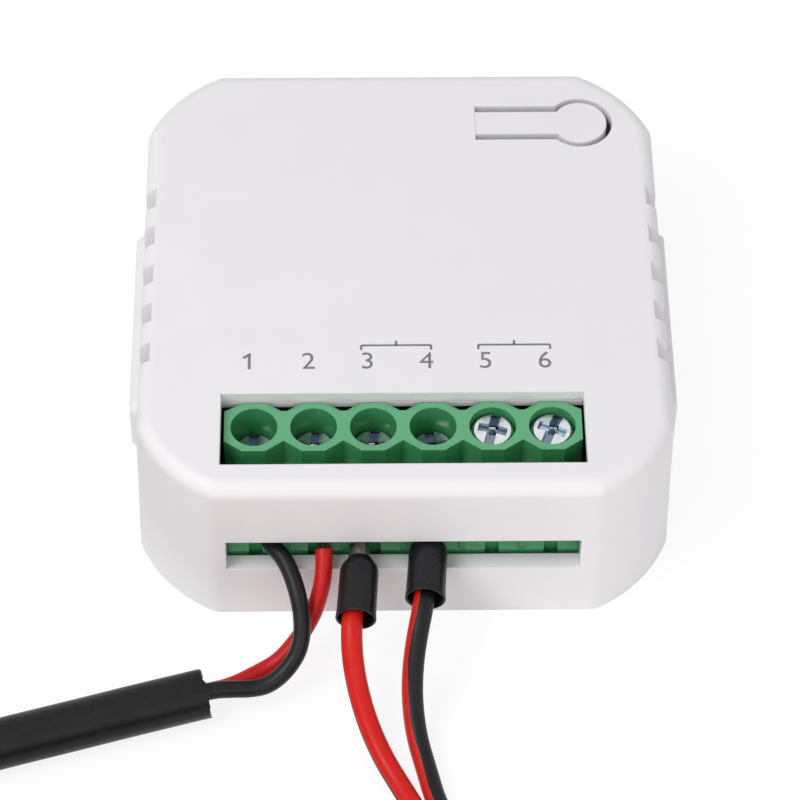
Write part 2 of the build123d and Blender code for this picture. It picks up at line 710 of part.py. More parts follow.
# Radio board with its shield can
with BuildPart() as radio_board:
    with BuildSketch(Plane.XY.offset(board_top)):
        with Locations(radio_place):
            Rectangle(radio_width, radio_length)
    extrude(amount=radio_thick)
radio_board.part.label = "radio_board"
export_step(radio_board.part, "parts/radio_board.step")

with BuildPart() as shield_can:
    with BuildSketch(Plane.XY.offset(board_top + radio_thick)):
        with Locations((radio_x, radio_place[1] + shield_shift_share * radio_length)):
            Rectangle(shield_width, shield_length_share * radio_length)
    extrude(amount=shield_height)
    fillet(shield_can.edges().filter_by(Axis.Z), shield_round)
shield_can.part.label = "shield_can"
export_step(shield_can.part, "parts/shield_can.step")

# Transformer: foot, core and winding in one wound and varnished lump
with BuildPart() as transformer:
    with BuildSketch(Plane.XY.offset(board_top)):
        with Locations(transformer_place):
            Rectangle(transformer_width, transformer_length)
    extrude(amount=transformer_foot)
    with BuildSketch(Plane.XY.offset(board_top + transformer_foot)):
        with Locations(transformer_place):
            Rectangle(transformer_width, transformer_core)
    extrude(amount=transformer_height - transformer_foot)
    with BuildSketch(Plane.XY.offset(board_top + transformer_foot)):
        with Locations(transformer_place):
            Circle(transformer_coil / 2)
    extrude(amount=transformer_height - 2 * transformer_foot)
transformer.part.label = "transformer"
export_step(transformer.part, "parts/transformer.step")

# Filter capacitors: cans with a rolled groove near the foot
with BuildPart() as filter_capacitors:
    with BuildSketch(Plane.XY.offset(board_top)):
        with Locations(*capacitor_places):
            Circle(capacitor_diameter / 2)
    extrude(amount=capacitor_height)
    with BuildSketch(Plane.XY.offset(board_top + capacitor_groove_at)):
        with Locations(*capacitor_places):
            Circle(capacitor_diameter / 2 + overrun)
            Circle(capacitor_diameter / 2 - capacitor_groove, mode=Mode.SUBTRACT)
    extrude(amount=2 * capacitor_groove, mode=Mode.SUBTRACT)
filter_capacitors.part.label = "filter_capacitors"
export_step(filter_capacitors.part, "parts/filter_capacitors.step")

# Fuse resistor: a small barrel with thicker ends, lying on the board
with BuildPart() as fuse_resistor:
    fuse_plane = Plane(
        origin=(fuse_place[0], fuse_place[1] - fuse_length / 2, board_top + fuse_diameter / 2),
        x_dir=(0, 1, 0),
        z_dir=(1, 0, 0),
    )
    with BuildSketch(fuse_plane):
        with BuildLine():
            Polyline(
                (0, 0), (0, fuse_diameter / 2), (fuse_length / 4, fuse_diameter / 2),
                (fuse_length / 3, fuse_neck / 2), (fuse_length * 2 / 3, fuse_neck / 2),
                (fuse_length * 3 / 4, fuse_diameter / 2), (fuse_length, fuse_diameter / 2),
                (fuse_length, 0), close=True,
            )
        make_face()
    revolve(axis=Axis(fuse_plane.origin, (0, 1, 0)))
fuse_resistor.part.label = "fuse_resistor"
export_step(fuse_resistor.part, "parts/fuse_resistor.step")

# Varistor: a coated disc that stands on two legs
with BuildPart() as varistor:
    disc_middle = board_top + varistor_lift + varistor_diameter / 2
    with BuildSketch(Plane.XZ.offset(-varistor_place[1] + varistor_thick / 2)):
        with Locations((varistor_place[0], disc_middle)):
            Circle(varistor_diameter / 2)
    extrude(amount=-varistor_thick)
    fillet(varistor.edges(), varistor_thick / 4)
    with BuildSketch(Plane.XY.offset(board_top)):
        with Locations(varistor_place):
            with GridLocations(varistor_diameter / 2, varistor_thick / 4, 2, 1):
                Rectangle(lead_width, lead_width)
    extrude(amount=varistor_diameter / 2)
varistor.part.label = "varistor"
export_step(varistor.part, "parts/varistor.step")


def gull_wing_chip(place, size):
    """A moulded chip with legs bent out along its two long sides."""
    leg_count = int(size[1] / chip_leg_pitch)
    with BuildPart(mode=Mode.PRIVATE) as chip:
        with BuildSketch(Plane.XY.offset(board_top)):
            with Locations(place):
                Rectangle(size[0], size[1])
        extrude(amount=size[2], taper=2)
        with BuildSketch(Plane.XY.offset(board_top)):
            with Locations(place):
                with GridLocations(size[0] + chip_leg, chip_leg_pitch, 2, leg_count):
                    Rectangle(chip_leg, chip_leg_pitch / 3)
        extrude(amount=chip_leg_thick)
    return chip.part


# Small chips on the board
chips = {
    "bridge_rectifier": (bridge_place, bridge_size),
    "power_chip": (power_chip_place, power_chip_size),
    "metering_chip": (metering_chip_place, metering_chip_size),
}
for name, (place, size) in chips.items():
    with BuildPart() as chip_piece:
        add(gull_wing_chip(place, size))
    chip_piece.part.label = name
    export_step(chip_piece.part, f"parts/{name}.step")

with BuildPart() as status_lamp:
    with BuildSketch(Plane.XY.offset(board_top)):
        with Locations(lamp_place):
            Rectangle(lamp_size[0], lamp_size[1])
    extrude(amount=lamp_size[2])
status_lamp.part.label = "status_lamp"
export_step(status_lamp.part, "parts/status_lamp.step")


def print_cord(name, route, line, piece, area):
    """Prints what shows that a tube is sound: its radii, and its volume over its section."""
    radii = [round(radius, 1) for radius in route_radii(route)]
    ratio = piece.volume / (area * line.length)
    print(f"{name}: length {line.length:.1f}, radii {radii}, volume over section {ratio:.4f}")


# Free stretches of cord: round tubes along their routes
free_cords = {
    "core_neutral": (neutral_route, core_diameter),
    "core_live": (live_route, core_diameter),
    "supply_cable": (supply_route, jacket_diameter),
    "supply_tail": (supply_tail, jacket_diameter),
    "ct_wire_red": (red_route, lead_diameter),
    "ct_wire_black": (black_route, lead_diameter),
    "ct_lead": (pair_route, pair_width),
    "ct_lead_tail": (pair_tail, pair_width),
}
for name, (route, diameter) in free_cords.items():
    with BuildPart() as cord:
        with BuildLine() as cord_line:
            FilletPolyline(*route, radius=route_radii(route))
        with BuildSketch(cord_section_plane(cord_line.wire())):
            Circle(diameter / 2)
        sweep()
    cord.part.label = name
    export_step(cord.part, f"parts/{name}.step")
    print_cord(name, route, cord_line.wire(), cord.part, pi * diameter**2 / 4)


def wound_arcs(place, start, outer, pitch, step, halves_in, halves_out):
    """Start, middle and end points of the half turns of a coil of two layers, clockwise.

    It winds in on the lower layer, climbs in one half turn, and winds out on the upper one.
    Place is the coil's middle and start the direction from there to where the cord comes in.
    """
    plane = Plane(origin=place, x_dir=start, z_dir=(0, 0, 1))
    arcs = []
    side = 1
    reach = outer
    height = 0
    changes = [-pitch / 2] * halves_in + [0] + [pitch / 2] * halves_out
    for turn, change in enumerate(changes):
        next_reach = reach + change
        next_height = step if turn >= halves_in else 0
        bulge = hypot((reach + next_reach) / 2, (next_height - height) / 2)
        arcs.append([
            plane.from_local_coords((side * reach, 0, height)),
            plane.from_local_coords((side * (reach - next_reach) / 2, -side * bulge,
                                     (height + next_height) / 2)),
            plane.from_local_coords((-side * next_reach, 0, next_height)),
        ])
        reach = next_reach
        height = next_height
        side = -side
    return arcs


def least_gap(line, diameter, apart):
    """Least gap of a coil to itself, measured on points that lie more than apart along it."""
    count = int(line.length / (diameter / 2))
    points = [line @ (number / count) for number in range(count + 1)]
    places = [(point.X, point.Y, point.Z) for point in points]
    skip = int(apart / line.length * count)
    least = line.length
    for number, (x, y, z) in enumerate(places):
        for other_x, other_y, other_z in places[number + skip:]:
            if abs(x - other_x) + abs(y - other_y) < 3 * diameter:
                least = min(least, dist((x, y, z), (other_x, other_y, other_z)))
    return least - diameter


# Coil of the supply cable: round, two layers
with BuildPart() as supply_coil:
    with BuildLine() as supply_coil_line:
        for first, middle, last in wound_arcs(
            supply_coil_place, (0, -1, 0), supply_coil_outer, supply_coil_pitch,
            supply_coil_step, 3, 2,
        ):
            ThreePointArc(first, middle, last)
    with BuildSketch(cord_section_plane(supply_coil_line.wire())):
        Circle(jacket_diameter / 2)
    sweep()
supply_coil.part.label = "supply_coil"
export_step(supply_coil.part, "parts/supply_coil.step")
supply_turns = supply_coil_line.wire()
print("supply_coil: length", round(supply_turns.length, 1), "least gap",
      round(least_gap(supply_turns, jacket_diameter, 2 * supply_coil_outer), 2))

# Coil of the clamp lead: round, two layers, as wide as the pair
with BuildPart() as ct_coil:
    with BuildLine() as ct_coil_line:
        for first, middle, last in wound_arcs(
            pair_coil_place, (1, 0, 0), pair_coil_outer, pair_coil_pitch,
            pair_coil_step, 5, 5,
        ):
            ThreePointArc(first, middle, last)
    with BuildSketch(cord_section_plane(ct_coil_line.wire())):
        Circle(pair_width / 2)
    sweep()
ct_coil.part.label = "ct_coil"
export_step(ct_coil.part, "parts/ct_coil.step")
pair_turns = ct_coil_line.wire()
print("ct_coil: length", round(pair_turns.length, 1), "least gap",
      round(least_gap(pair_turns, pair_width, 2 * pair_coil_outer), 2))

# Stripped cores at the far end of the supply cable
tail_end = Vector(*supply_tail[-1])
tail_way = (tail_end - Vector(*supply_tail[-2])).normalized()
tail_side = tail_way.cross(Vector(0, 0, 1)).normalized()
for name, side in {"supply_end_neutral": 1, "supply_end_live": -1}.items():
    core_start_point = tail_end + tail_side * (side * core_diameter / 2)
    with BuildPart() as core_end:
        with BuildSketch(Plane(origin=core_start_point, z_dir=tail_way)):
            Circle(core_diameter / 2 - slim_fit)
        extrude(amount=supply_end_length / 2)
        with BuildSketch(Plane(origin=core_start_point, z_dir=tail_way)):
            Circle(strand_diameter / 2)
        extrude(amount=supply_end_length)
    core_end.part.label = name
    export_step(core_end.part, f"parts/{name}.step")

# Current clamp: its own frame, from its upper side down, with the base end at the origin
# and the jaw ahead
clamp_top = (clamp_place[0], clamp_place[1], clamp_place[2] + clamp_height)
clamp_floor = Plane(origin=clamp_top, x_dir=(1, 0, 0), z_dir=(0, 0, -1))
core_z = (clamp_height - core_height) / 2
hinge_x = -clamp_width / 2 - hinge_out
winding_front = core_start - winding_thick
winding_back = core_start + core_leg + winding_thick
jaw_gap = fit


def core_profile(first, last, back, grow):
    """A U of the clamp's core, from first to last along the clamp, its back at back."""
    inner_first = back + core_leg + grow if back == first else first
    inner_last = last if back == first else back - grow
    with BuildSketch(mode=Mode.PRIVATE) as profile:
        with Locations((0, (first + last) / 2)):
            Rectangle(2 * (core_reach + grow), last - first + 2 * grow)
        with Locations((0, (inner_first + inner_last) / 2 + (grow if back == first else -grow))):
            Rectangle(2 * (core_reach - core_leg - grow), inner_last - inner_first + 2 * grow,
                      mode=Mode.SUBTRACT)
    return profile.sketch


def away_from_parting(edges):
    """Those edges of a clamp half that don't lie at its parting face."""
    parting_y = clamp_place[1] - jaw_start
    return [edge for edge in edges if abs(edge.center().Y - parting_y) > 2 * jaw_gap]


# Base of the current clamp: block with core and winding pockets, two hinge knuckles
with BuildPart() as ct_base:
    with BuildSketch(clamp_floor) as base_plan:
        with Locations((0, jaw_start / 2)):
            Rectangle(clamp_width, jaw_start)
        fillet(base_plan.vertices().group_by(Axis.Y)[0], clamp_corner)
    extrude(amount=clamp_height)
    fillet(away_from_parting(ct_base.faces().filter_by(Axis.Z).edges()), clamp_edge)
    with BuildSketch(clamp_floor.offset(-overrun)):
        with Locations((0, jaw_start)):
            Circle(aperture / 2)
    extrude(amount=clamp_height + 2 * overrun, mode=Mode.SUBTRACT)
    with BuildSketch(clamp_floor.offset(core_z - fit)):
        add(core_profile(core_start, jaw_start + overrun, core_start, fit))
    extrude(amount=core_height + 2 * fit, mode=Mode.SUBTRACT)
    with BuildSketch(clamp_floor.offset(core_z - winding_thick - fit)):
        with Locations((0, (winding_front + winding_back) / 2)):
            Rectangle(2 * (winding_reach + fit), winding_back - winding_front + 2 * fit)
    extrude(amount=core_height + 2 * (winding_thick + fit), mode=Mode.SUBTRACT)
    with BuildSketch(clamp_floor.offset(jaw_lift + knuckle_height - fit)):
        with Locations((hinge_x, jaw_start)):
            Circle(knuckle / 2 + 2 * fit)
    extrude(amount=clamp_height - 2 * (jaw_lift + knuckle_height - fit), mode=Mode.SUBTRACT)
    for height in (jaw_lift, clamp_height - jaw_lift - knuckle_height):
        with BuildSketch(clamp_floor.offset(height)):
            with Locations((hinge_x, jaw_start)):
                Circle(knuckle / 2)
            with Locations((hinge_x + hinge_out, jaw_start - knuckle / 4)):
                Rectangle(2 * hinge_out, knuckle / 2)
        extrude(amount=knuckle_height)
    with BuildSketch(clamp_floor):
        with Locations((hinge_x, jaw_start)):
            Circle(hinge_pin / 2 + slim_fit)
    extrude(amount=clamp_height, mode=Mode.SUBTRACT)
    with BuildSketch(clamp_floor.offset((clamp_height - latch_width) / 2 - fit)):
        with Locations((clamp_width / 2, jaw_start - latch_reach / 2)):
            Rectangle(2 * latch_recess, latch_reach + 2 * latch_recess)
    extrude(amount=latch_width + 2 * fit, mode=Mode.SUBTRACT)
    with BuildSketch(Plane(origin=(clamp_place[0], clamp_place[1], exit_height), z_dir=(0, -1, 0))):
        Circle(pair_width / 2 + slim_fit)
    extrude(amount=exit_depth, mode=Mode.SUBTRACT)
ct_base.part.label = "ct_base"
export_step(ct_base.part, "parts/ct_base.step")

# Jaw of the current clamp: swings on the hinge, closes with its latch tongue
with BuildPart() as ct_jaw:
    with BuildSketch(clamp_floor.offset(jaw_lift)) as jaw_plan:
        with Locations((0, (jaw_start + jaw_gap + clamp_length) / 2)):
            Rectangle(clamp_width, clamp_length - jaw_start - jaw_gap)
        fillet(jaw_plan.vertices().group_by(Axis.Y)[-1], clamp_corner)
    extrude(amount=clamp_height - 2 * jaw_lift)
    fillet(away_from_parting(ct_jaw.faces().filter_by(Axis.Z).edges()), clamp_edge)
    with BuildSketch(clamp_floor.offset(-overrun)):
        with Locations((0, jaw_start)):
            Circle(aperture / 2)
    extrude(amount=clamp_height + 2 * overrun, mode=Mode.SUBTRACT)
    with BuildSketch(clamp_floor.offset(core_z - fit)):
        add(core_profile(jaw_start - overrun, jaw_start + core_jaw, jaw_start + core_jaw - core_leg, fit))
    extrude(amount=core_height + 2 * fit, mode=Mode.SUBTRACT)
    for height in (0, clamp_height - jaw_lift - knuckle_height - fit):
        with BuildSketch(clamp_floor.offset(height)):
            with Locations((hinge_x, jaw_start)):
                Circle(knuckle / 2 + 2 * fit)
        extrude(amount=knuckle_height + jaw_lift + fit, mode=Mode.SUBTRACT)
    with BuildSketch(clamp_floor.offset(jaw_lift + knuckle_height + fit)):
        with Locations((hinge_x, jaw_start)):
            Circle(knuckle / 2)
        with Locations((hinge_x + hinge_out, jaw_start + knuckle / 4 + jaw_gap / 2)):
            Rectangle(2 * hinge_out, knuckle / 2 - jaw_gap)
    extrude(amount=clamp_height - 2 * (jaw_lift + knuckle_height + fit))
    with BuildSketch(clamp_floor):
        with Locations((hinge_x, jaw_start)):
            Circle(hinge_pin / 2 + slim_fit)
    extrude(amount=clamp_height, mode=Mode.SUBTRACT)
    with BuildSketch(clamp_floor.offset((clamp_height - latch_width) / 2)):
        with BuildLine():
            Polyline(
                (clamp_width / 2, jaw_start + latch_reach / 2),
                (clamp_width / 2, jaw_start - latch_reach + 2 * latch_bump),
                (clamp_width / 2 - latch_bump, jaw_start - latch_reach + latch_bump),
                (clamp_width / 2 - latch_bump, jaw_start - latch_reach),
                (clamp_width / 2 + latch_thick, jaw_start - latch_reach),
                (clamp_width / 2 + latch_thick, jaw_start + latch_reach / 2 - latch_thick),
                close=True,
            )
        make_face()
    extrude(amount=latch_width)
ct_jaw.part.label = "ct_jaw"
export_step(ct_jaw.part, "parts/ct_jaw.step")

with BuildPart() as ct_hinge_pin:
    with BuildSketch(clamp_floor.offset(2 * jaw_lift)):
        with Locations((hinge_x, jaw_start)):
            Circle(hinge_pin / 2)
    extrude(amount=clamp_height - 4 * jaw_lift)
ct_hinge_pin.part.label = "ct_hinge_pin"
export_step(ct_hinge_pin.part, "parts/ct_hinge_pin.step")

with BuildPart() as ct_core_lower:
    with BuildSketch(clamp_floor.offset(core_z)):
        add(core_profile(core_start, jaw_start, core_start, 0))
    extrude(amount=core_height)
ct_core_lower.part.label = "ct_core_lower"
export_step(ct_core_lower.part, "parts/ct_core_lower.step")

with BuildPart() as ct_core_upper:
    with BuildSketch(clamp_floor.offset(core_z)):
        add(core_profile(jaw_start + jaw_gap, jaw_start + core_jaw, jaw_start + core_jaw - core_leg, 0))
    extrude(amount=core_height)
ct_core_upper.part.label = "ct_core_upper"
export_step(ct_core_upper.part, "parts/ct_core_upper.step")

# Winding round the back of the lower core
with BuildPart() as ct_winding:
    with BuildSketch(clamp_floor.offset(core_z - winding_thick)):
        with Locations((0, (winding_front + winding_back) / 2)):
            Rectangle(2 * winding_reach, winding_back - winding_front)
    extrude(amount=core_height + 2 * winding_thick)
    with BuildSketch(clamp_floor.offset(core_z - fit)):
        with Locations((0, core_start + core_leg / 2)):
            Rectangle(2 * winding_reach, core_leg + 2 * fit)
    extrude(amount=core_height + 2 * fit, mode=Mode.SUBTRACT)
ct_winding.part.label = "ct_winding"
export_step(ct_winding.part, "parts/ct_winding.step")
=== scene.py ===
import math

import bmesh
import bpy
from mathutils import Matrix, Vector


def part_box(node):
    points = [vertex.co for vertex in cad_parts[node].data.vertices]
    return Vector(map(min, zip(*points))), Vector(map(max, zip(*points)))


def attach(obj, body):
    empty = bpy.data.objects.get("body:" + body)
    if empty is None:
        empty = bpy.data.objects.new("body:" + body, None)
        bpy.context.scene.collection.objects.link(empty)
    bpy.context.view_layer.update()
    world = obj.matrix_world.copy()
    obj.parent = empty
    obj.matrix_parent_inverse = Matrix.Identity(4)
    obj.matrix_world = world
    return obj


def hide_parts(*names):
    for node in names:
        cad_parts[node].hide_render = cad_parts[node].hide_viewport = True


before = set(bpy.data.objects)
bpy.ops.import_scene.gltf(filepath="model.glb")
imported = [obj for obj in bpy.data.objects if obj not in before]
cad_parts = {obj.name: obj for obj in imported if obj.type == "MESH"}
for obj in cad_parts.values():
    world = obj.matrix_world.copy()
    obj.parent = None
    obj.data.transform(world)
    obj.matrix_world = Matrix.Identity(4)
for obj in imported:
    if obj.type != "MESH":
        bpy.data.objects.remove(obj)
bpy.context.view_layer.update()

mm = 0.001
scene = bpy.context.scene
scene.view_settings.view_transform = "Standard"


# Camera: stands on the side of the wires and looks down on the top at about 52 degrees.
# It is a long lens at arm's length, so the case narrows only a little towards the back.
camera_elevation = math.radians(51.777)
camera_yaw = math.radians(1.244)
camera_roll = math.radians(-0.621)
camera_aim = Vector((-0.136 * mm, -1.124 * mm, 0))
camera_distance = 310.207 * mm
picture_width = 800
focal_pixels = 3388.72
camera_way = Vector((
    math.sin(camera_yaw) * math.cos(camera_elevation),
    math.cos(camera_yaw) * math.cos(camera_elevation),
    -math.sin(camera_elevation),
))
level = Vector((math.cos(camera_yaw), -math.sin(camera_yaw), 0))
downwards = camera_way.cross(level)
across = level * math.cos(camera_roll) + downwards * math.sin(camera_roll)
down = downwards * math.cos(camera_roll) - level * math.sin(camera_roll)
camera_data = bpy.data.cameras.new("camera")
camera_data.sensor_width = 36
camera_data.lens = focal_pixels / picture_width * camera_data.sensor_width
camera_data.clip_start = 10 * mm
camera = bpy.data.objects.new("camera", camera_data)
camera.matrix_world = Matrix.Translation(camera_aim - camera_way * camera_distance) @ Matrix(
    (across, -down, -camera_way)).transposed().to_4x4()
scene.collection.objects.link(camera)
scene.camera = camera


# Supply cable: two insulated cores in a round black jacket of soft vinyl, cut with a knife.
# It lies on the table, leaves the picture at the left, and is put away there in a coil.
supply_diameter = 4.3 * mm
supply_bore = 3.1 * mm
supply_bore_depth = 5.0 * mm
supply_cut = 0.16 * mm
supply_route = [
    (-17.16, -34.4, 2.15), (-22.4, -35.85, 2.15), (-28.2, -37.55, 2.15), (-34.2, -39.25, 2.15),
    (-41.0, -41.4, 2.15), (-48.0, -43.6, 2.15), (-54.6, -45.1, 2.15), (-60.0, -45.6, 2.15),
    (-64.9, -45.6, 2.15),
]
supply_tail = [
    (-64.9, -42.7, 6.95), (-69.3, -42.7, 6.95), (-73.8, -43.9, 6.95), (-77.8, -46.3, 6.2),
    (-81.0, -49.2, 4.4), (-83.8, -52.0, 2.75), (-86.4, -54.2, 2.25),
]


def coil_points(place, start, outer, pitch, step, halves_in, halves_out):
    """Guide points of a coil of two layers, wound clockwise, in millimetres.

    It winds in on the lower layer, climbs in one half turn, and winds out on the upper one.
    """
    # The spline runs inside its guide points, so they stand a little further out.
    steps = 8
    spread = 2 / (1 + math.cos(math.pi / steps / 2) ** 2)
    middle = Vector(place)
    ahead = Vector(start)
    beside = Vector((0, 0, 1)).cross(ahead)
    points = []
    side = 1
    reach = outer
    height = 0
    changes = [-pitch / 2] * halves_in + [0] + [pitch / 2] * halves_out
    for turn, change in enumerate(changes):
        next_height = step if turn >= halves_in else 0
        for number in range(steps):
            angle = math.pi * (number + 0.5) / steps
            radius = (reach + change / 2 - change / 2 * math.cos(angle)) * spread
            rise = height + (next_height - height) * (1 - math.cos(angle)) / 2
            points.append(middle + side * radius * (
                math.cos(angle) * ahead - math.sin(angle) * beside) + Vector((0, 0, rise)))
        reach += change
        height = next_height
        side = -side
    return points


def smooth_line(route, resolution):
    """Points of the smooth spline that has the route's points as its control points."""
    guide_curve = bpy.data.curves.new("guide", "CURVE")
    guide_curve.dimensions = "3D"
    guide_curve.resolution_u = resolution
    spline = guide_curve.splines.new("NURBS")
    spline.points.add(len(route) - 1)
    for point, place in zip(spline.points, route):
        point.co = (*(Vector(place) * mm), 1)
    spline.order_u = 3
    spline.use_endpoint_u = True
    guide = bpy.data.objects.new("guide", guide_curve)
    scene.collection.objects.link(guide)
    line = bpy.data.meshes.new_from_object(guide)
    points = [vertex.co.copy() for vertex in line.vertices]
    bpy.data.objects.remove(guide)
    bpy.data.curves.remove(guide_curve)
    bpy.data.meshes.remove(line)
    return points


def piece(name, mesh, material, body="case"):
    """A finished piece of the object, with one material, that rides on a body."""
    mesh.name = name
    mesh.materials.clear()
    mesh.materials.append(material)
    made = bpy.data.objects.new(name, mesh)
    scene.collection.objects.link(made)
    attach(made, body)
    return made


def smooth_shading(mesh, angle):
    """Shades a mesh smooth, with the edges that turn by more than an angle kept crisp."""
    mesh.shade_smooth()
    mesh.set_sharp_from_angle(angle=math.radians(angle))


def tube_mesh(line, radius, sides=24, bore=0, bore_depth=0, ragged=0):
    """A round tube along a line, with a bore at its start where one is asked for.

    Its map runs once round from the top by the side, and along in metres. A ragged tube has
    the low waves of a knife's cut round its start.
    """
    rings = []
    run = 0
    for number, point in enumerate(line):
        before = line[max(number - 1, 0)]
        after = line[min(number + 1, len(line) - 1)]
        way = (after - before).normalized()
        side = way.cross(Vector((0, 0, 1))).normalized()
        run += (point - before).length
        rings.append((point, way, side, side.cross(way), radius, run))
    if bore:
        depth = max(number for number, ring in enumerate(rings) if ring[5] <= bore_depth)
        inner = [(*ring[:4], bore / 2, -ring[5]) for ring in rings[:depth + 1]]
        rings = inner[::-1] + rings
    mesh_data = bpy.data.meshes.new("tube")
    shape = bmesh.new()
    uv_layer = shape.loops.layers.uv.new("along")
    rows = []
    for point, way, side, up, reach, run in rings:
        row = []
        for step in range(sides):
            angle = math.tau * step / sides
            wave = math.sin(3 * angle) + 0.6 * math.sin(7 * angle + 1) if run == 0 else 0
            row.append(shape.verts.new(
                point + way * ragged * wave
                + reach * (math.cos(angle) * up + math.sin(angle) * side)))
        rows.append(row)
    for number in range(len(rows) - 1):
        for step in range(sides):
            follow = (step + 1) % sides
            face = shape.faces.new((
                rows[number][step], rows[number][follow],
                rows[number + 1][follow], rows[number + 1][step]))
            places = ((number, step), (number, step + 1), (number + 1, step + 1), (number + 1, step))
            for loop, (row, turn) in zip(face.loops, places):
                loop[uv_layer].uv = (turn / sides, rings[row][5])
    shape.faces.new(rows[0][::-1])
    shape.faces.new(rows[-1])
    shape.to_mesh(mesh_data)
    shape.free()
    smooth_shading(mesh_data, 50)
    return mesh_data


def new_material(name):
    """An empty node material with its principled shader and a place to add nodes."""
    made = bpy.data.materials.new(name)
    made.use_nodes = True
    made.node_tree.nodes.clear()
    shader = made.node_tree.nodes.new("ShaderNodeBsdfPrincipled")
    output = made.node_tree.nodes.new("ShaderNodeOutputMaterial")
    made.node_tree.links.new(shader.outputs["BSDF"], output.inputs["Surface"])
    return made, made.node_tree, shader


def noise(tree, scale, detail=3):
    """A noise over the piece, its scale in grains per metre."""
    place = tree.nodes.new("ShaderNodeTexCoord")
    grain = tree.nodes.new("ShaderNodeTexNoise")
    grain.inputs["Scale"].default_value = scale
    grain.inputs["Detail"].default_value = detail
    tree.links.new(place.outputs["Object"], grain.inputs["Vector"])
    return grain.outputs["Fac"]


def spread_value(tree, value, low, high, start=0.3, end=0.7):
    """Maps a noise's middle range to a range from low to high."""
    ranged = tree.nodes.new("ShaderNodeMapRange")
    ranged.inputs["From Min"].default_value = start
    ranged.inputs["From Max"].default_value = end
    ranged.inputs["To Min"].default_value = low
    ranged.inputs["To Max"].default_value = high
    tree.links.new(value, ranged.inputs["Value"])
    return ranged.outputs["Result"]


def mix_colours(tree, share, first, second):
    """Mixes two colours by a share, each given as numbers or as another node's output."""
    mixed = tree.nodes.new("ShaderNodeMix")
    mixed.data_type = "RGBA"
    tree.links.new(share, mixed.inputs[0])
    for socket, colour in ((mixed.inputs[6], first), (mixed.inputs[7], second)):
        if isinstance(colour, tuple):
            socket.default_value = (*colour, 1)
        else:
            tree.links.new(colour, socket)
    return mixed.outputs[2]


def bump(tree, shader, height, distance):
    """Raises the surface by a height between 0 and 1 times a distance."""
    relief = tree.nodes.new("ShaderNodeBump")
    relief.inputs["Strength"].default_value = 1
    relief.inputs["Distance"].default_value = distance
    tree.links.new(height, relief.inputs["Height"])
    tree.links.new(relief.outputs["Normal"], shader.inputs["Normal"])
    return relief


def two_tone(name, first, second, roughness, scales, relief=0, metallic=0, specular=0.5):
    """A finish of two near tones, with uneven gloss and, where it has one, a fine relief.

    The scales are those of the tones, the gloss and the relief, in grains per metre.
    """
    made, tree, shader = new_material(name)
    tone = spread_value(tree, noise(tree, scales[0]), 0, 1)
    tree.links.new(mix_colours(tree, tone, first, second), shader.inputs["Base Color"])
    tree.links.new(spread_value(tree, noise(tree, scales[1]), *roughness), shader.inputs["Roughness"])
    shader.inputs["Metallic"].default_value = metallic
    shader.inputs["Specular IOR Level"].default_value = specular
    if relief:
        bump(tree, shader, noise(tree, scales[2]), relief)
    return made


vinyl_relief = 0.012 * mm
vinyl_specular = 0.22


def vinyl(name, colour, dusty, roughness, scale):
    """Soft vinyl: even colour, a faint haze, and the fine drag marks of the extruder."""
    return two_tone(name, colour, dusty, roughness, (scale, scale / 3, scale * 4), vinyl_relief,
                    specular=vinyl_specular)


jacket_vinyl = vinyl("jacket_vinyl", (0.004, 0.004, 0.0044), (0.009, 0.009, 0.010), (0.3, 0.44), 900)
supply_turns = coil_points(
    place=(-64.9, -19.75, 2.15), start=(0, -1, 0), outer=25.85, pitch=5.8, step=4.8,
    halves_in=3, halves_out=2)
supply_line = smooth_line(supply_route + supply_turns + supply_tail, resolution=6)
supply = piece("supply_cable_jacket", tube_mesh(
    supply_line, supply_diameter / 2, sides=32, bore=supply_bore, bore_depth=supply_bore_depth,
    ragged=supply_cut), jacket_vinyl)
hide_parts("supply_cable", "supply_coil", "supply_tail")


# Cores of the supply cable: neutral in black and live in red, flexible, in smooth soft vinyl.
# They leave the jacket's cut end side by side, and rise to the first two terminals.
core_diameter = 1.5 * mm
neutral_route = [
    (-12.42, -21.2, 7.85), (-11.44, -23.24, 8.0), (-10.37, -24.55, 8.0), (-9.46, -26.68, 7.4),
    (-8.81, -29.2, 6.0), (-8.96, -31.24, 4.4), (-10.14, -32.71, 3.1), (-11.72, -33.72, 2.3),
    (-13.26, -34.01, 2.2), (-14.81, -34.2, 2.5), (-16.61, -34.5, 2.83),
    (-21.0, -35.9, 2.83), (-26.4, -37.45, 2.83),
]
live_route = [
    (-7.0, -23.6, 7.98), (-6.93, -25.39, 6.9), (-7.66, -27.4, 5.0), (-8.31, -28.4, 4.0),
    (-9.27, -29.51, 3.0), (-10.84, -30.82, 1.7), (-12.54, -31.56, 1.1), (-14.88, -33.02, 1.2),
    (-16.68, -33.72, 1.5), (-21.2, -35.0, 1.5), (-24.9, -36.05, 1.5), (-28.2, -36.95, 1.5),
    (-31.2, -37.8, 1.6),
]
core_black = vinyl("core_black_vinyl", (0.006, 0.006, 0.007), (0.014, 0.014, 0.016), (0.28, 0.4), 700)
core_red = vinyl("core_red_vinyl", (0.55, 0.010, 0.010), (0.62, 0.017, 0.015), (0.3, 0.42), 700)


for name, route, material, slot in (
    ("core_neutral", neutral_route, core_black, "core_black"),
    ("core_live", live_route, core_red, "core_red"),
):
    line = smooth_line(route, resolution=12)
    core = piece(name + "_wire", tube_mesh(line, core_diameter / 2), material)
    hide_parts(name)


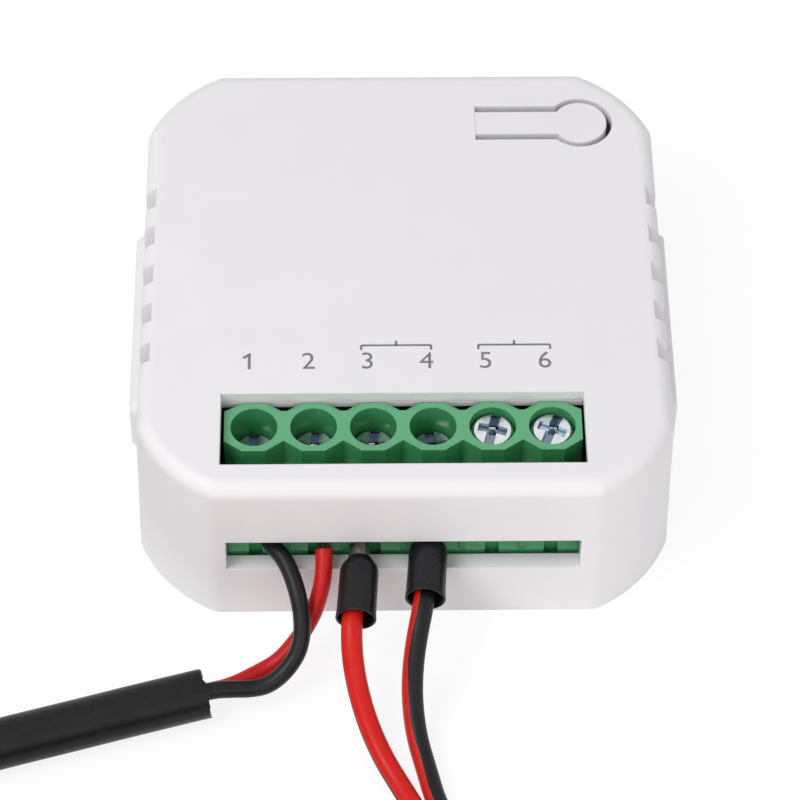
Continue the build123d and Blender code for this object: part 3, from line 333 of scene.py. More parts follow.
# Far end of the supply cable: both cores come out of the jacket and are stripped, to be
# wired to the mains. Each shows a short twist of fine bare copper strands.
stub_diameter = 1.4 * mm
stub_step = 0.35 * mm
stub_steps = range(-6, 10)
bare_start = 3.1 * mm
bare_length = 3.4 * mm
strand_count = 19
copper = two_tone("bare_copper", (0.83, 0.42, 0.25), (0.93, 0.58, 0.38), (0.22, 0.38),
                  (1500, 3000), metallic=1)


def math_node(tree, operation, *values):
    """The result of a sum in a node tree, of numbers or of other nodes' outputs."""
    node = tree.nodes.new("ShaderNodeMath")
    node.operation = operation
    for socket, value in zip(node.inputs, values):
        if isinstance(value, (int, float)):
            socket.default_value = value
        else:
            tree.links.new(value, socket)
    return node.outputs[0]


def open_tree(name, inputs):
    """A new node tree that makes a mesh, and what its named inputs give."""
    tree = bpy.data.node_groups.new(name, "GeometryNodeTree")
    for label, kind in inputs:
        tree.interface.new_socket(label, in_out="INPUT", socket_type="NodeSocket" + kind)
    tree.interface.new_socket("Geometry", in_out="OUTPUT", socket_type="NodeSocketGeometry")
    return tree, tree.nodes.new("NodeGroupInput").outputs


def close_tree(tree, geometry, finish):
    """Ends a node tree: what it made becomes one real mesh with its finish."""
    realized = tree.nodes.new("GeometryNodeRealizeInstances")
    tree.links.new(geometry, realized.inputs[0])
    finished = tree.nodes.new("GeometryNodeSetMaterial")
    tree.links.new(realized.outputs[0], finished.inputs["Geometry"])
    tree.links.new(finish, finished.inputs["Material"])
    result = tree.nodes.new("NodeGroupOutput")
    tree.links.new(finished.outputs[0], result.inputs["Geometry"])


def strand_tree():
    """Node tree that twists a number of fine strands into a bundle along Z."""
    tree, given = open_tree("strand_bundle", (
        ("Length", "Float"), ("Bundle Radius", "Float"), ("Strand Radius", "Float"),
        ("Strands", "Int"), ("Turns", "Float"), ("Flatten", "Float"), ("Finish", "Material"),
    ))
    nodes, link = tree.nodes, tree.links.new

    def maths(operation, *values):
        return math_node(tree, operation, *values)

    end = nodes.new("ShaderNodeCombineXYZ")
    link(given["Length"], end.inputs["Z"])
    straight = nodes.new("GeometryNodeCurvePrimitiveLine")
    link(end.outputs[0], straight.inputs["End"])
    fine = nodes.new("GeometryNodeResampleCurve")
    fine.inputs["Count"].default_value = 18
    link(straight.outputs[0], fine.inputs["Curve"])
    copies = nodes.new("GeometryNodeDuplicateElements")
    copies.domain = "SPLINE"
    link(fine.outputs[0], copies.inputs["Geometry"])
    link(given["Strands"], copies.inputs["Amount"])
    number = copies.outputs["Duplicate Index"]
    golden_angle = math.pi * (3 - math.sqrt(5))
    share = maths("DIVIDE", maths("ADD", number, 0.5), given["Strands"])
    reach = maths("MULTIPLY", maths("SQRT", share), given["Bundle Radius"])
    place = nodes.new("GeometryNodeInputPosition")
    split = nodes.new("ShaderNodeSeparateXYZ")
    link(place.outputs[0], split.inputs[0])
    along = maths("DIVIDE", split.outputs["Z"], given["Length"])
    angle = maths("ADD", maths("MULTIPLY", number, golden_angle),
                  maths("MULTIPLY", along, maths("MULTIPLY", given["Turns"], math.tau)))
    joined = nodes.new("ShaderNodeCombineXYZ")
    link(maths("MULTIPLY", reach, maths("COSINE", angle)), joined.inputs["X"])
    link(maths("MULTIPLY", maths("MULTIPLY", reach, maths("SINE", angle)), given["Flatten"]),
         joined.inputs["Y"])
    link(split.outputs["Z"], joined.inputs["Z"])
    moved = nodes.new("GeometryNodeSetPosition")
    link(copies.outputs["Geometry"], moved.inputs["Geometry"])
    link(joined.outputs[0], moved.inputs["Position"])
    section = nodes.new("GeometryNodeCurvePrimitiveCircle")
    section.inputs["Resolution"].default_value = 6
    link(given["Strand Radius"], section.inputs["Radius"])
    swept = nodes.new("GeometryNodeCurveToMesh")
    link(moved.outputs[0], swept.inputs["Curve"])
    link(section.outputs[0], swept.inputs["Profile Curve"])
    swept.inputs["Fill Caps"].default_value = True
    close_tree(tree, swept.outputs[0], given["Finish"])
    return tree


def grown(tree, values, place):
    """The plain mesh that a node tree makes from its named values, moved to its place."""
    blank = bpy.data.meshes.new("blank")
    holder = bpy.data.objects.new("holder", blank)
    scene.collection.objects.link(holder)
    modifier = holder.modifiers.new("grown", "NODES")
    modifier.node_group = tree
    for item in tree.interface.items_tree:
        if item.in_out == "INPUT":
            modifier[item.identifier] = values[item.name]
    mesh = bpy.data.meshes.new_from_object(
        holder.evaluated_get(bpy.context.evaluated_depsgraph_get()))
    holder.modifiers.remove(modifier)
    bpy.data.objects.remove(holder)
    bpy.data.meshes.remove(blank)
    mesh.transform(place)
    return mesh


def turned_to(origin, way):
    """The place of a piece at an origin, with its Z along a way and its Y turned up."""
    ahead = Vector(way).normalized()
    side = Vector((0, 0, 1)).cross(ahead).normalized()
    return Matrix.Translation(Vector(origin)) @ Matrix(
        (side, ahead.cross(side), ahead)).transposed().to_4x4()


bundle = strand_tree()
tail_end = Vector(supply_tail[-1]) * mm
tail_way = (tail_end - Vector(supply_tail[-2]) * mm).normalized()
tail_side = tail_way.cross(Vector((0, 0, 1))).normalized()
end_pieces = []
for name, side, material, slot in (
    ("supply_end_neutral", 1, core_black, "core_black"),
    ("supply_end_live", -1, core_red, "core_red"),
):
    start = tail_end + tail_side * side * core_diameter / 2
    line = [start + tail_way * step * stub_step for step in stub_steps]
    stub = piece(name + "_stub", tube_mesh(line, stub_diameter / 2), material)
    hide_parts(name)
    bare = piece(name + "_strands", grown(bundle, {
        "Length": bare_length, "Bundle Radius": 0.4 * mm, "Strand Radius": 0.09 * mm,
        "Strands": strand_count, "Turns": 0.4, "Flatten": 1.0, "Finish": copper,
    }, turned_to(start + tail_way * bare_start, tail_way)), copper)
    end_pieces += [stub, bare]


# Lead of the current clamp: a red and a black wire that are bonded side by side and split
# near the module, where each keeps a strip of its neighbour's colour along the split.
lead_diameter = 1.83 * mm
bond = 0.93  # half the distance between the two wires' middles, in millimetres
table_gap = 0.01
red_route = [
    (-4.25, -27.4, 7.8), (-4.52, -29.4, 7.65), (-4.68, -31.5, 7.3), (-4.62, -33.4, 6.0),
    (-4.2, -35.4, 4.3), (-3.35, -37.9, 2.7), (-2.1, -40.5, 1.45), (-0.65, -43.0, 0.95),
    (0.67, -45.5, 0.95),
]
black_route = [
    (1.77, -25.7, 7.8), (1.65, -27.6, 7.7), (1.35, -29.6, 7.5), (0.9, -31.5, 6.6),
    (0.5, -33.5, 4.9), (0.4, -35.8, 3.1), (0.75, -38.6, 1.75), (1.55, -41.5, 1.1),
    (2.3, -44.6, 0.95),
]
pair_route = [
    (2.6, -47.5), (4.35, -51.4), (5.4, -55.9), (5.72, -60.8), (5.45, -65.9), (5.0, -71.0),
    (5.0, -76.0),
]
pair_turn = [0, 20, 45, 70, 90, 90, 90]  # how far the pair stands on edge at each point, in degrees
pair_left = [  # the way to the pair's left at each point
    (-0.912, -0.41), (-0.95, -0.31), (-0.989, -0.15), (-1.0, 0.0), (-0.998, 0.07),
    (-1.0, 0.04), (-1.0, 0.0),
]
pair_tail = [
    (-44.2, -76.0, 6.02), (-44.2, -71.6, 6.02), (-44.0, -65.8, 6.06), (-44.0, -59.45, 6.1),
    (-46.55, -55.05, 6.1), (-50.95, -52.5, 6.1), (-56.05, -52.5, 6.1), (-60.45, -55.05, 6.1),
    (-63.0, -59.45, 6.1), (-63.0, -66.0, 6.1),
]


def striped_vinyl(name, colour, strip, middle, half_width):
    """Vinyl with a strip of another colour along it, placed by its share of the way round."""
    made, tree, shader = new_material(name)
    place = tree.nodes.new("ShaderNodeTexCoord")
    split = tree.nodes.new("ShaderNodeSeparateXYZ")
    tree.links.new(place.outputs["UV"], split.inputs[0])
    wander = spread_value(tree, noise(tree, 260), -0.015, 0.015)
    turn = math_node(tree, "ADD", split.outputs["X"], wander)
    beside = math_node(tree, "ABSOLUTE", math_node(tree, "SUBTRACT", turn, middle))
    striped = math_node(tree, "LESS_THAN", beside, half_width)
    haze = spread_value(tree, noise(tree, 700), 0.85, 1.1)
    ground = mix_colours(tree, haze, tuple(0.8 * channel for channel in colour), colour)
    tree.links.new(mix_colours(tree, striped, ground, strip), shader.inputs["Base Color"])
    tree.links.new(spread_value(tree, noise(tree, 300), 0.32, 0.44), shader.inputs["Roughness"])
    shader.inputs["Specular IOR Level"].default_value = vinyl_specular
    bump(tree, shader, noise(tree, 2600), vinyl_relief)
    return made


wire_red = striped_vinyl(
    "wire_red_vinyl", (0.66, 0.013, 0.009), strip=(0.03, 0.012, 0.012), middle=0.25, half_width=0.035)
wire_black = striped_vinyl(
    "wire_black_vinyl", (0.007, 0.0075, 0.009), strip=(0.56, 0.02, 0.014), middle=0.165,
    half_width=0.1)
pair_turns = coil_points(
    place=(-19.6, -76.0, 1.87), start=(1, 0, 0), outer=24.6, pitch=4.95, step=4.15,
    halves_in=5, halves_out=5)
for name, route, side, material, slot, replaced in (
    ("ct_wire_red", red_route, 1, wire_red, "core_red",
     ("ct_wire_red", "ct_lead", "ct_coil", "ct_lead_tail")),
    ("ct_wire_black", black_route, -1, wire_black, "core_black", ("ct_wire_black",)),
):
    twisted = []
    for (x, y), turn, (left_x, left_y) in zip(pair_route, pair_turn, pair_left):
        angle = math.radians(turn)
        reach = side * bond * math.cos(angle)
        rise = bond + side * bond * math.sin(angle) + bond * math.sin(angle) + table_gap
        twisted.append((x + reach * left_x, y + reach * left_y, rise))
    on_edge = Vector((0, 0, side * bond))
    line = smooth_line(
        route + twisted + [point + on_edge for point in pair_turns]
        + [Vector(point) + on_edge for point in pair_tail], resolution=6)
    wire = piece(name + "_lead", tube_mesh(line, lead_diameter / 2, sides=16), material)
    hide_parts(*replaced)


# Ferrule collars: moulded funnels of black polypropylene that are pushed on the wires' ends.
# The neck is round, the wide mouth is thin and hollow, and the wire goes in at one side of it.
collar_places = [  # middles of the neck's end and of the mouth, in millimetres
    ((-3.9, -24.7, 7.98), (-4.3, -30.6, 7.6)),
    ((2.0, -22.7, 8.0), (1.6, -28.6, 7.62)),
]
collar_profile = [  # heights and radii of the closed section, in millimetres
    (2.4, 0.96), (2.4, 1.36), (4.0, 1.4), (5.7, 1.46), (5.87, 1.5), (5.95, 1.58), (5.95, 1.68),
    (5.89, 1.74), (5.77, 1.74), (5.55, 1.71), (5.05, 1.69), (3.2, 1.67), (1.5, 1.66), (1.12, 1.63),
    (0.85, 1.54), (0.6, 1.39), (0.16, 1.1), (0.05, 1.04), (0.0, 1.0), (0.02, 0.97), (0.1, 0.95),
    (1.3, 0.95),
]


def lathe_mesh(profile, place, sides=48):
    """A closed profile, in millimetres, turned round Z and moved to its place."""
    mesh_data = bpy.data.meshes.new("turned")
    shape = bmesh.new()
    rows = []
    for height, radius in profile:
        rows.append([shape.verts.new((
            radius * mm * math.cos(math.tau * step / sides),
            radius * mm * math.sin(math.tau * step / sides), height * mm)) for step in range(sides)])
    for lower, upper in zip(rows, rows[1:] + rows[:1]):
        for step in range(sides):
            follow = (step + 1) % sides
            shape.faces.new((lower[step], lower[follow], upper[follow], upper[step]))
    bmesh.ops.recalc_face_normals(shape, faces=shape.faces)
    shape.to_mesh(mesh_data)
    shape.free()
    mesh_data.transform(place)
    smooth_shading(mesh_data, 40)
    return mesh_data


def moulded(name, colour, mottle, roughness, grain, relief, edge, specular, top=None, painted_sheen_height=0):
    """Moulded plastic: faint mottle, fine eroded texture, and edges softened by the mould.

    Where a top colour is given, what stands above its height gets it: a painted sheen of light.
    """
    made, tree, shader = new_material(name)
    tone = spread_value(tree, noise(tree, 180, detail=4), 0, 1)
    ground = mix_colours(tree, tone, colour, mottle)
    # Painted sheen: above the height the ground turns to the paler top colour.
    if top:
        place = tree.nodes.new("ShaderNodeTexCoord")
        split = tree.nodes.new("ShaderNodeSeparateXYZ")
        tree.links.new(place.outputs["Object"], split.inputs[0])
        raised = spread_value(tree, split.outputs["Z"], 0, 1, start=painted_sheen_height,
                              end=painted_sheen_height + 0.04 * mm)
        ground = mix_colours(tree, raised, ground, top)
    tree.links.new(ground, shader.inputs["Base Color"])
    tree.links.new(spread_value(tree, noise(tree, grain / 2), *roughness), shader.inputs["Roughness"])
    shader.inputs["Specular IOR Level"].default_value = specular
    eroded = bump(tree, shader, noise(tree, grain), relief)
    soft_edge = tree.nodes.new("ShaderNodeBevel")
    soft_edge.samples = 6
    soft_edge.inputs["Radius"].default_value = edge
    tree.links.new(soft_edge.outputs["Normal"], eroded.inputs["Normal"])
    return made


collar_plastic = moulded(
    "collar_plastic", (0.006, 0.006, 0.007), (0.013, 0.013, 0.015), roughness=(0.26, 0.38),
    grain=5000, relief=0.002 * mm, edge=0.03 * mm, specular=0.26)
for number, (tip, mouth) in enumerate(collar_places, 1):
    way = Vector(mouth) - Vector(tip)
    collar = piece(
        f"ferrule_collar_{number}_moulding",
        lathe_mesh(collar_profile, turned_to(Vector(tip) * mm, way)),
        collar_plastic)
    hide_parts(f"ferrule_collar_{number}")


# Ferrule tubes and bare strands: what the clamps hold. The tubes are of tinned copper, pressed
# flat; the supply cores are stripped, and their fine strands fan out a little under the plates.
tinned = two_tone("tinned_copper", (0.36, 0.34, 0.31), (0.62, 0.60, 0.56), (0.2, 0.4),
                  (1800, 2600, 5200), 0.01 * mm, metallic=1)


def dress(material, *nodes):
    """Gives a material to CAD nodes that are shown as they are."""
    for node in nodes:
        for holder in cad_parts[node].material_slots:
            holder.material = material


dress(tinned, "ferrule_tube_1", "ferrule_tube_2")
for name, start, end in (
    ("neutral_strands", (-12.5, -21.35, 7.82), (-12.87, -15.0, 7.45)),
    ("live_strands", (-7.02, -23.75, 7.98), (-7.79, -15.0, 7.45)),
):
    way = (Vector(end) - Vector(start)) * mm
    strands = piece(name + "_fan", grown(bundle, {
        "Length": way.length, "Bundle Radius": 0.48 * mm, "Strand Radius": 0.1 * mm,
        "Strands": strand_count, "Turns": 0.3, "Flatten": 0.75, "Finish": copper,
    }, turned_to(Vector(start) * mm, way)), copper)
    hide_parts(name)


# Top cover: a deep shell of white polycarbonate with a fine eroded surface, moulded in one
# piece with its window, the slot for the wires, blind grooves and grip pads on the sides.
case_white = moulded(
    "case_white", (0.86, 0.855, 0.87), (0.88, 0.875, 0.885), roughness=(0.42, 0.52),
    grain=4200, relief=0.011 * mm, edge=0.16 * mm, specular=0.36)
dress(case_white, "top_cover")

# A rib under the roof, moulded with the cover, stiffens the window's back edge. It stands
# close behind the towers of the terminal block.
rib_low = Vector((-16.2, -13.725, 15.1)) * mm
rib_high = Vector((15.8, -12.9, 15.86)) * mm


def blocks_mesh(blocks):
    """One mesh of blocks, each given by its middle and its size."""
    mesh_data = bpy.data.meshes.new("blocks")
    shape = bmesh.new()
    for middle, size in blocks:
        bmesh.ops.create_cube(
            shape, size=1, matrix=Matrix.Translation(middle) @ Matrix.Diagonal((*size, 1)))
    shape.to_mesh(mesh_data)
    shape.free()
    return mesh_data


piece("window_rib", blocks_mesh([((rib_low + rib_high) / 2, rib_high - rib_low)]), case_white)

# Button: a tongue cut free in the roof, of the cover's own plastic, so it bends when pressed.
# Its round end is a little smoother, where the mould's ejector and fingers polish it.
button_white = moulded(
    "button_white", (0.855, 0.85, 0.865), (0.875, 0.87, 0.88), roughness=(0.38, 0.48),
    grain=4200, relief=0.009 * mm, edge=0.2 * mm, specular=0.36)
dress(button_white, "button_tab")

# Base cover: the flat lid that snaps into the shell from below, of the same plastic, matt on
# its inside, with posts and locating pins for the circuit board.
base_white = moulded(
    "base_white", (0.85, 0.838, 0.865), (0.87, 0.858, 0.882), roughness=(0.48, 0.6),
    grain=3600, relief=0.013 * mm, edge=0.12 * mm, specular=0.5)
dress(base_white, "base_cover")


# Terminal numbers: plain grey digits, pad printed in a very thin layer of ink on the cover.
# Two thin brackets show which poles belong together.
ink = two_tone("grey_ink", (0.17, 0.165, 0.17), (0.24, 0.235, 0.24), (0.5, 0.65), (2400, 1600))
ink_height = 17.0 * mm
ink_thick = 0.012 * mm
ink_middle = ink_height + ink_thick / 2
pole_pitch = 5.08 * mm
pole_count = 6
digit_size = 2.55 * mm
digit_shift = 0.62 * mm
digit_y = -11.05 * mm
# The 1 gets a longer flag: its place from the digit's middle and top, its turn and its size.
flag_x = 0.27 * mm
flag_drop = 0.33 * mm
flag_turn = math.radians(38)
flag_size = (0.62 * mm, 0.24 * mm, 0.8 * ink_thick, 1)
for number in range(1, pole_count + 1):
    label_curve = bpy.data.curves.new("label", "FONT")
    label_curve.body = str(number)
    label_curve.size = digit_size
    label_curve.align_x = "CENTER"
    label_curve.extrude = ink_thick / 2
    holder = bpy.data.objects.new("holder", label_curve)
    scene.collection.objects.link(holder)
    digit = bpy.data.meshes.new_from_object(holder)
    bpy.data.objects.remove(holder)
    bpy.data.curves.remove(label_curve)
    if number == 1:
        flagged = bmesh.new()
        flagged.from_mesh(digit)
        crown = max(vertex.co.y for vertex in digit.vertices)
        bmesh.ops.create_cube(
            flagged, size=1, matrix=Matrix.Translation((-flag_x, crown - flag_drop, 0))
            @ Matrix.Rotation(flag_turn, 4, "Z") @ Matrix.Diagonal(flag_size))
        flagged.to_mesh(digit)
        flagged.free()
    digit_x = (number - (pole_count + 1) / 2) * pole_pitch - digit_shift
    digit.transform(Matrix.Translation((digit_x, digit_y, ink_middle)))
    piece(f"terminal_number_{number}", digit, ink)
bracket_line = 0.2 * mm
bracket_foot = 0.5 * mm
bracket_y = -8.5 * mm
for name, left, right in (("pair_3_4", -3.7 * mm, 2.33 * mm), ("pair_5_6", 6.4 * mm, 12.6 * mm)):
    middle = (left + right) / 2
    bar = ((middle, bracket_y, ink_middle), (right - left, bracket_line, ink_thick))
    feet = [
        ((x, bracket_y + way * bracket_foot / 2, ink_middle), (bracket_line, bracket_foot, ink_thick))
        for x, way in ((middle, 1), (left, -1), (right, -1))]
    piece("bracket_" + name, blocks_mesh([bar, *feet]), ink)


# Terminal block: green glass-filled nylon, six towers round the screws over funnel mouths for
# the wires. Each pole has a tinned brass cage, open to the front, with a solder pin below.
# Painted sheen: the towers' flat tops are paler; the green below is darkened, in part as painted
# shade.
block_green = moulded(
    "block_green", (0.045, 0.28, 0.105), (0.06, 0.32, 0.13), roughness=(0.26, 0.4),
    grain=2600, relief=0.004 * mm, edge=0.06 * mm, specular=0.4,
    top=(0.125, 0.42, 0.21), painted_sheen_height=15.8 * mm)
dress(block_green, "terminal_housing")

# The notches between the towers' backs run to a V: a slim wedge of the same nylon stands on
# either side of each, moulded with the towers, from the board's top to theirs.
tower_back_y = -13.9 * mm
tower_top = 15.85 * mm
board_top = 4.4 * mm
notch_reach = 1.56 * mm
notch_depth = 0.82 * mm
notch_flat = 0.22 * mm
notch_shift = 0.17 * mm
notch_steps = 8
notch_radius = (notch_reach ** 2 + notch_depth ** 2) / (2 * notch_depth)
seam = 0.02 * mm
flanks = bpy.data.meshes.new("flanks")
shape = bmesh.new()
for gap in range(1, pole_count):
    gap_x = (gap - pole_count / 2) * pole_pitch - notch_shift
    for side in (1, -1):
        outline = [(notch_reach, 0), (notch_flat, -notch_depth)]
        for step in range(notch_steps + 1):
            x = notch_flat + (notch_reach - notch_flat) * step / notch_steps
            sunk = math.sqrt(notch_radius ** 2 - x ** 2) - notch_radius + notch_depth
            outline.append((x, -sunk - seam))
        corners = [Vector((gap_x + side * x, tower_back_y + y, board_top)) for x, y in outline]
        lower = [shape.verts.new(corner) for corner in corners]
        upper = [shape.verts.new((corner.x, corner.y, tower_top)) for corner in corners]
        shape.faces.new(lower)
        shape.faces.new(upper)
        for number in range(len(corners)):
            follow = (number + 1) % len(corners)
            shape.faces.new((lower[number], lower[follow], upper[follow], upper[number]))
bmesh.ops.recalc_face_normals(shape, faces=shape.faces)
shape.to_mesh(flanks)
shape.free()
piece("terminal_housing_flanks", flanks, block_green)
dress(tinned, "terminal_cages")


# Terminal screws: zinc plated steel, cheese head with a chamfer, a slot that is crossed by a
# shorter one, and a rolled thread. Each holds a loose plate that presses on the wire.
# Painted shade darkens the zinc below the head's top, recess, sides and shank; `depth` is in
# millimetres.
zinc, tree, shader = new_material("zinc_plate")
stain = spread_value(tree, noise(tree, 1300), 0, 1)
# Painted shade: from a quarter to half a millimetre down, the zinc turns dark blue-grey.
sunk = tree.nodes.new("ShaderNodeAttribute")
sunk.attribute_name = "depth"
painted_recess_shade = spread_value(tree, sunk.outputs["Fac"], 0, 1, start=0.25, end=0.5)
plated = mix_colours(tree, stain, (0.64, 0.66, 0.71), (0.82, 0.81, 0.83))
tree.links.new(mix_colours(tree, painted_recess_shade, plated, (0.20, 0.25, 0.31)), shader.inputs["Base Color"])
tree.links.new(spread_value(tree, noise(tree, 2400), 0.14, 0.3), shader.inputs["Roughness"])
shader.inputs["Metallic"].default_value = 1
bump(tree, shader, noise(tree, 6000), 0.005 * mm)
dress(zinc, *[f"clamp_plate_{pole}" for pole in range(1, pole_count + 1)])


def screw_tree():
    """Node tree of a screw, tip at the origin, head up, recess cut; its inputs are in millimetres."""
    tree, given = open_tree("cross_slot_screw", (
        ("Shaft Radius", "Float"), ("Shaft Length", "Float"), ("Head Radius", "Float"),
        ("Head Height", "Float"), ("Chamfer", "Float"), ("Dome", "Float"), ("Slot Width", "Float"),
        ("Slot Depth", "Float"), ("Cross Length", "Float"), ("Thread Pitch", "Float"),
        ("Finish", "Material"),
    ))
    nodes, link = tree.nodes, tree.links.new

    def maths(operation, *values):
        return math_node(tree, operation, *values)

    def raised(geometry, height):
        node = nodes.new("GeometryNodeTransform")
        lift = nodes.new("ShaderNodeCombineXYZ")
        link(height, lift.inputs["Z"])
        link(lift.outputs[0], node.inputs["Translation"])
        link(geometry, node.inputs["Geometry"])
        return node.outputs[0]

    def frustum(low, high, depth, base=None):
        node = nodes.new("GeometryNodeMeshCone")
        node.inputs["Vertices"].default_value = 48
        link(low, node.inputs["Radius Bottom"])
        link(high, node.inputs["Radius Top"])
        link(depth, node.inputs["Depth"])
        return raised(node.outputs["Mesh"], base) if base else node.outputs["Mesh"]

    def block(length, width, depth, middle):
        node = nodes.new("GeometryNodeMeshCube")
        size = nodes.new("ShaderNodeCombineXYZ")
        for socket, value in zip(size.inputs, (length, width, depth)):
            link(value, socket)
        link(size.outputs[0], node.inputs["Size"])
        return raised(node.outputs["Mesh"], middle)

    def combined(operation, *meshes):
        node = nodes.new("GeometryNodeMeshBoolean")
        node.operation = operation
        if operation == "DIFFERENCE":
            link(meshes[0], node.inputs["Mesh 1"])
            meshes = meshes[1:]
        for mesh in meshes:
            link(mesh, node.inputs["Mesh 2"])
        return node.outputs["Mesh"]

    # The parts lap each other a little, because a cut between touching faces can fail.
    lap = 0.01
    root_share, ridge_share, dome_share = 0.9, 0.1, 0.4
    pit_foot, pit_depth, pit_rise = 0.15, 1.7, 0.7
    shoulder = given["Shaft Length"]
    core = maths("MULTIPLY", given["Shaft Radius"], root_share)
    rim = maths("SUBTRACT", given["Head Radius"], given["Chamfer"])
    top = maths("ADD", shoulder, given["Head Height"])
    wall = maths("SUBTRACT", maths("SUBTRACT", given["Head Height"], given["Chamfer"]), given["Dome"])
    shaft = frustum(core, core, maths("ADD", shoulder, 5 * lap))
    drum = frustum(given["Head Radius"], given["Head Radius"], maths("SUBTRACT", wall, lap),
                   maths("ADD", shoulder, lap))
    crown = frustum(given["Head Radius"], rim, given["Chamfer"],
                    maths("SUBTRACT", maths("ADD", shoulder, wall), lap))
    dome_height = maths("ADD", given["Dome"], 2 * lap)
    dome = frustum(rim, maths("MULTIPLY", rim, dome_share), dome_height,
                   maths("SUBTRACT", top, dome_height))
    solid = combined("UNION", shaft, drum, crown, dome)
    length = maths("MULTIPLY", given["Head Radius"], 2.2)
    depth = maths("MULTIPLY", given["Slot Depth"], 2)
    slot = block(length, given["Slot Width"], depth, top)
    cross = block(given["Slot Width"], given["Cross Length"], depth, top)
    pit = frustum(maths("MULTIPLY", given["Slot Width"], pit_foot), given["Slot Width"],
                  maths("MULTIPLY", given["Slot Depth"], pit_depth + pit_rise),
                  maths("SUBTRACT", top, maths("MULTIPLY", given["Slot Depth"], pit_depth)))
    cut = combined("DIFFERENCE", combined("DIFFERENCE", solid, slot, cross), pit)
    # The depth below the head's top is kept on the mesh, for the zinc's painted shade.
    place = nodes.new("GeometryNodeInputPosition")
    split = nodes.new("ShaderNodeSeparateXYZ")
    link(place.outputs[0], split.inputs[0])
    marked = nodes.new("GeometryNodeStoreNamedAttribute")
    marked.inputs["Name"].default_value = "depth"
    link(cut, marked.inputs["Geometry"])
    link(maths("SUBTRACT", top, split.outputs["Z"]), marked.inputs["Value"])
    spiral = nodes.new("GeometryNodeCurveSpiral")
    spiral.inputs["Resolution"].default_value = 24
    threaded = maths("SUBTRACT", shoulder, given["Thread Pitch"])
    link(maths("DIVIDE", threaded, given["Thread Pitch"]), spiral.inputs["Rotations"])
    link(core, spiral.inputs["Start Radius"])
    link(core, spiral.inputs["End Radius"])
    link(threaded, spiral.inputs["Height"])
    ridge = nodes.new("GeometryNodeCurvePrimitiveCircle")
    ridge.inputs["Resolution"].default_value = 5
    link(maths("MULTIPLY", given["Shaft Radius"], ridge_share), ridge.inputs["Radius"])
    thread = nodes.new("GeometryNodeCurveToMesh")
    link(spiral.outputs[0], thread.inputs["Curve"])
    link(ridge.outputs[0], thread.inputs["Profile Curve"])
    thread.inputs["Fill Caps"].default_value = True
    joined = nodes.new("GeometryNodeJoinGeometry")
    link(marked.outputs[0], joined.inputs[0])
    link(raised(thread.outputs[0], maths("MULTIPLY", given["Thread Pitch"], 0.4)), joined.inputs[0])
    sized = nodes.new("GeometryNodeTransform")
    sized.inputs["Scale"].default_value = (mm, mm, mm)
    link(joined.outputs[0], sized.inputs["Geometry"])
    close_tree(tree, sized.outputs[0], given["Finish"])
    return tree


cross_slot = screw_tree()
screw_turns = (92, 81, 84, 101, 76, 67)
for number, turn in enumerate(screw_turns, 1):
    low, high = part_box(f"terminal_screw_{number}")
    place = Matrix.Translation(((low[0] + high[0]) / 2, (low[1] + high[1]) / 2, low[2]))
    mesh = grown(cross_slot, {
        "Shaft Radius": 1.5, "Shaft Length": 3.5, "Head Radius": 1.8,
        "Head Height": 1.4, "Chamfer": 0.22, "Dome": 0.16, "Slot Width": 0.85,
        "Slot Depth": 0.6, "Cross Length": 2.5, "Thread Pitch": 0.5, "Finish": zinc,
    }, place @ Matrix.Rotation(math.radians(turn), 4, "Z"))
    smooth_shading(mesh, 30)
    screw = piece(f"screw_{number}_turned", mesh, zinc, body=f"screw_{number}")
    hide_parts(f"terminal_screw_{number}")


# Circuit board and what stands on it: glass laminate under green solder mask, with the
# switch under the button, the radio board under its can, and the mains parts on the left.
def plain_finish(name, colour, other, roughness, scale, metallic=0):
    """The finish of a bought part: two tones, uneven gloss and a fine grain."""
    return two_tone(name, colour, other, roughness, (scale, scale * 2, scale * 5), 0.008 * mm,
                    metallic)


dress(plain_finish("board_mask", (0.02, 0.13, 0.06), (0.03, 0.17, 0.085), (0.25, 0.38), 700),
      "circuit_board")
dress(plain_finish("radio_mask", (0.02, 0.03, 0.06), (0.03, 0.05, 0.09), (0.25, 0.35), 700),
      "radio_board")
dress(plain_finish("can_sheet", (0.62, 0.62, 0.60), (0.75, 0.74, 0.72), (0.25, 0.42), 400, 1.0),
      "shield_can")
dress(plain_finish("winding_tape", (0.72, 0.58, 0.08), (0.82, 0.68, 0.14), (0.35, 0.5), 500),
      "transformer")
dress(plain_finish("can_sleeve", (0.03, 0.03, 0.045), (0.05, 0.05, 0.07), (0.3, 0.42), 500),
      "filter_capacitors")
dress(plain_finish("lacquer", (0.30, 0.48, 0.42), (0.38, 0.55, 0.48), (0.35, 0.5), 900),
      "fuse_resistor")
dress(plain_finish("dipped_epoxy", (0.03, 0.10, 0.38), (0.05, 0.14, 0.45), (0.2, 0.34), 500),
      "varistor")
dress(plain_finish("chip_epoxy", (0.012, 0.012, 0.013), (0.022, 0.022, 0.023), (0.45, 0.6), 1500),
      "bridge_rectifier", "power_chip", "metering_chip")
dress(plain_finish("lamp_resin", (0.85, 0.80, 0.55), (0.9, 0.86, 0.68), (0.15, 0.25), 900),
      "status_lamp")
dress(plain_finish("switch_nylon", (0.02, 0.02, 0.02), (0.035, 0.035, 0.035), (0.4, 0.55), 1200),
      "tact_switch_body")
dress(plain_finish("stem_nylon", (0.66, 0.62, 0.54), (0.74, 0.70, 0.62), (0.35, 0.5), 1200),
      "tact_switch_plunger")


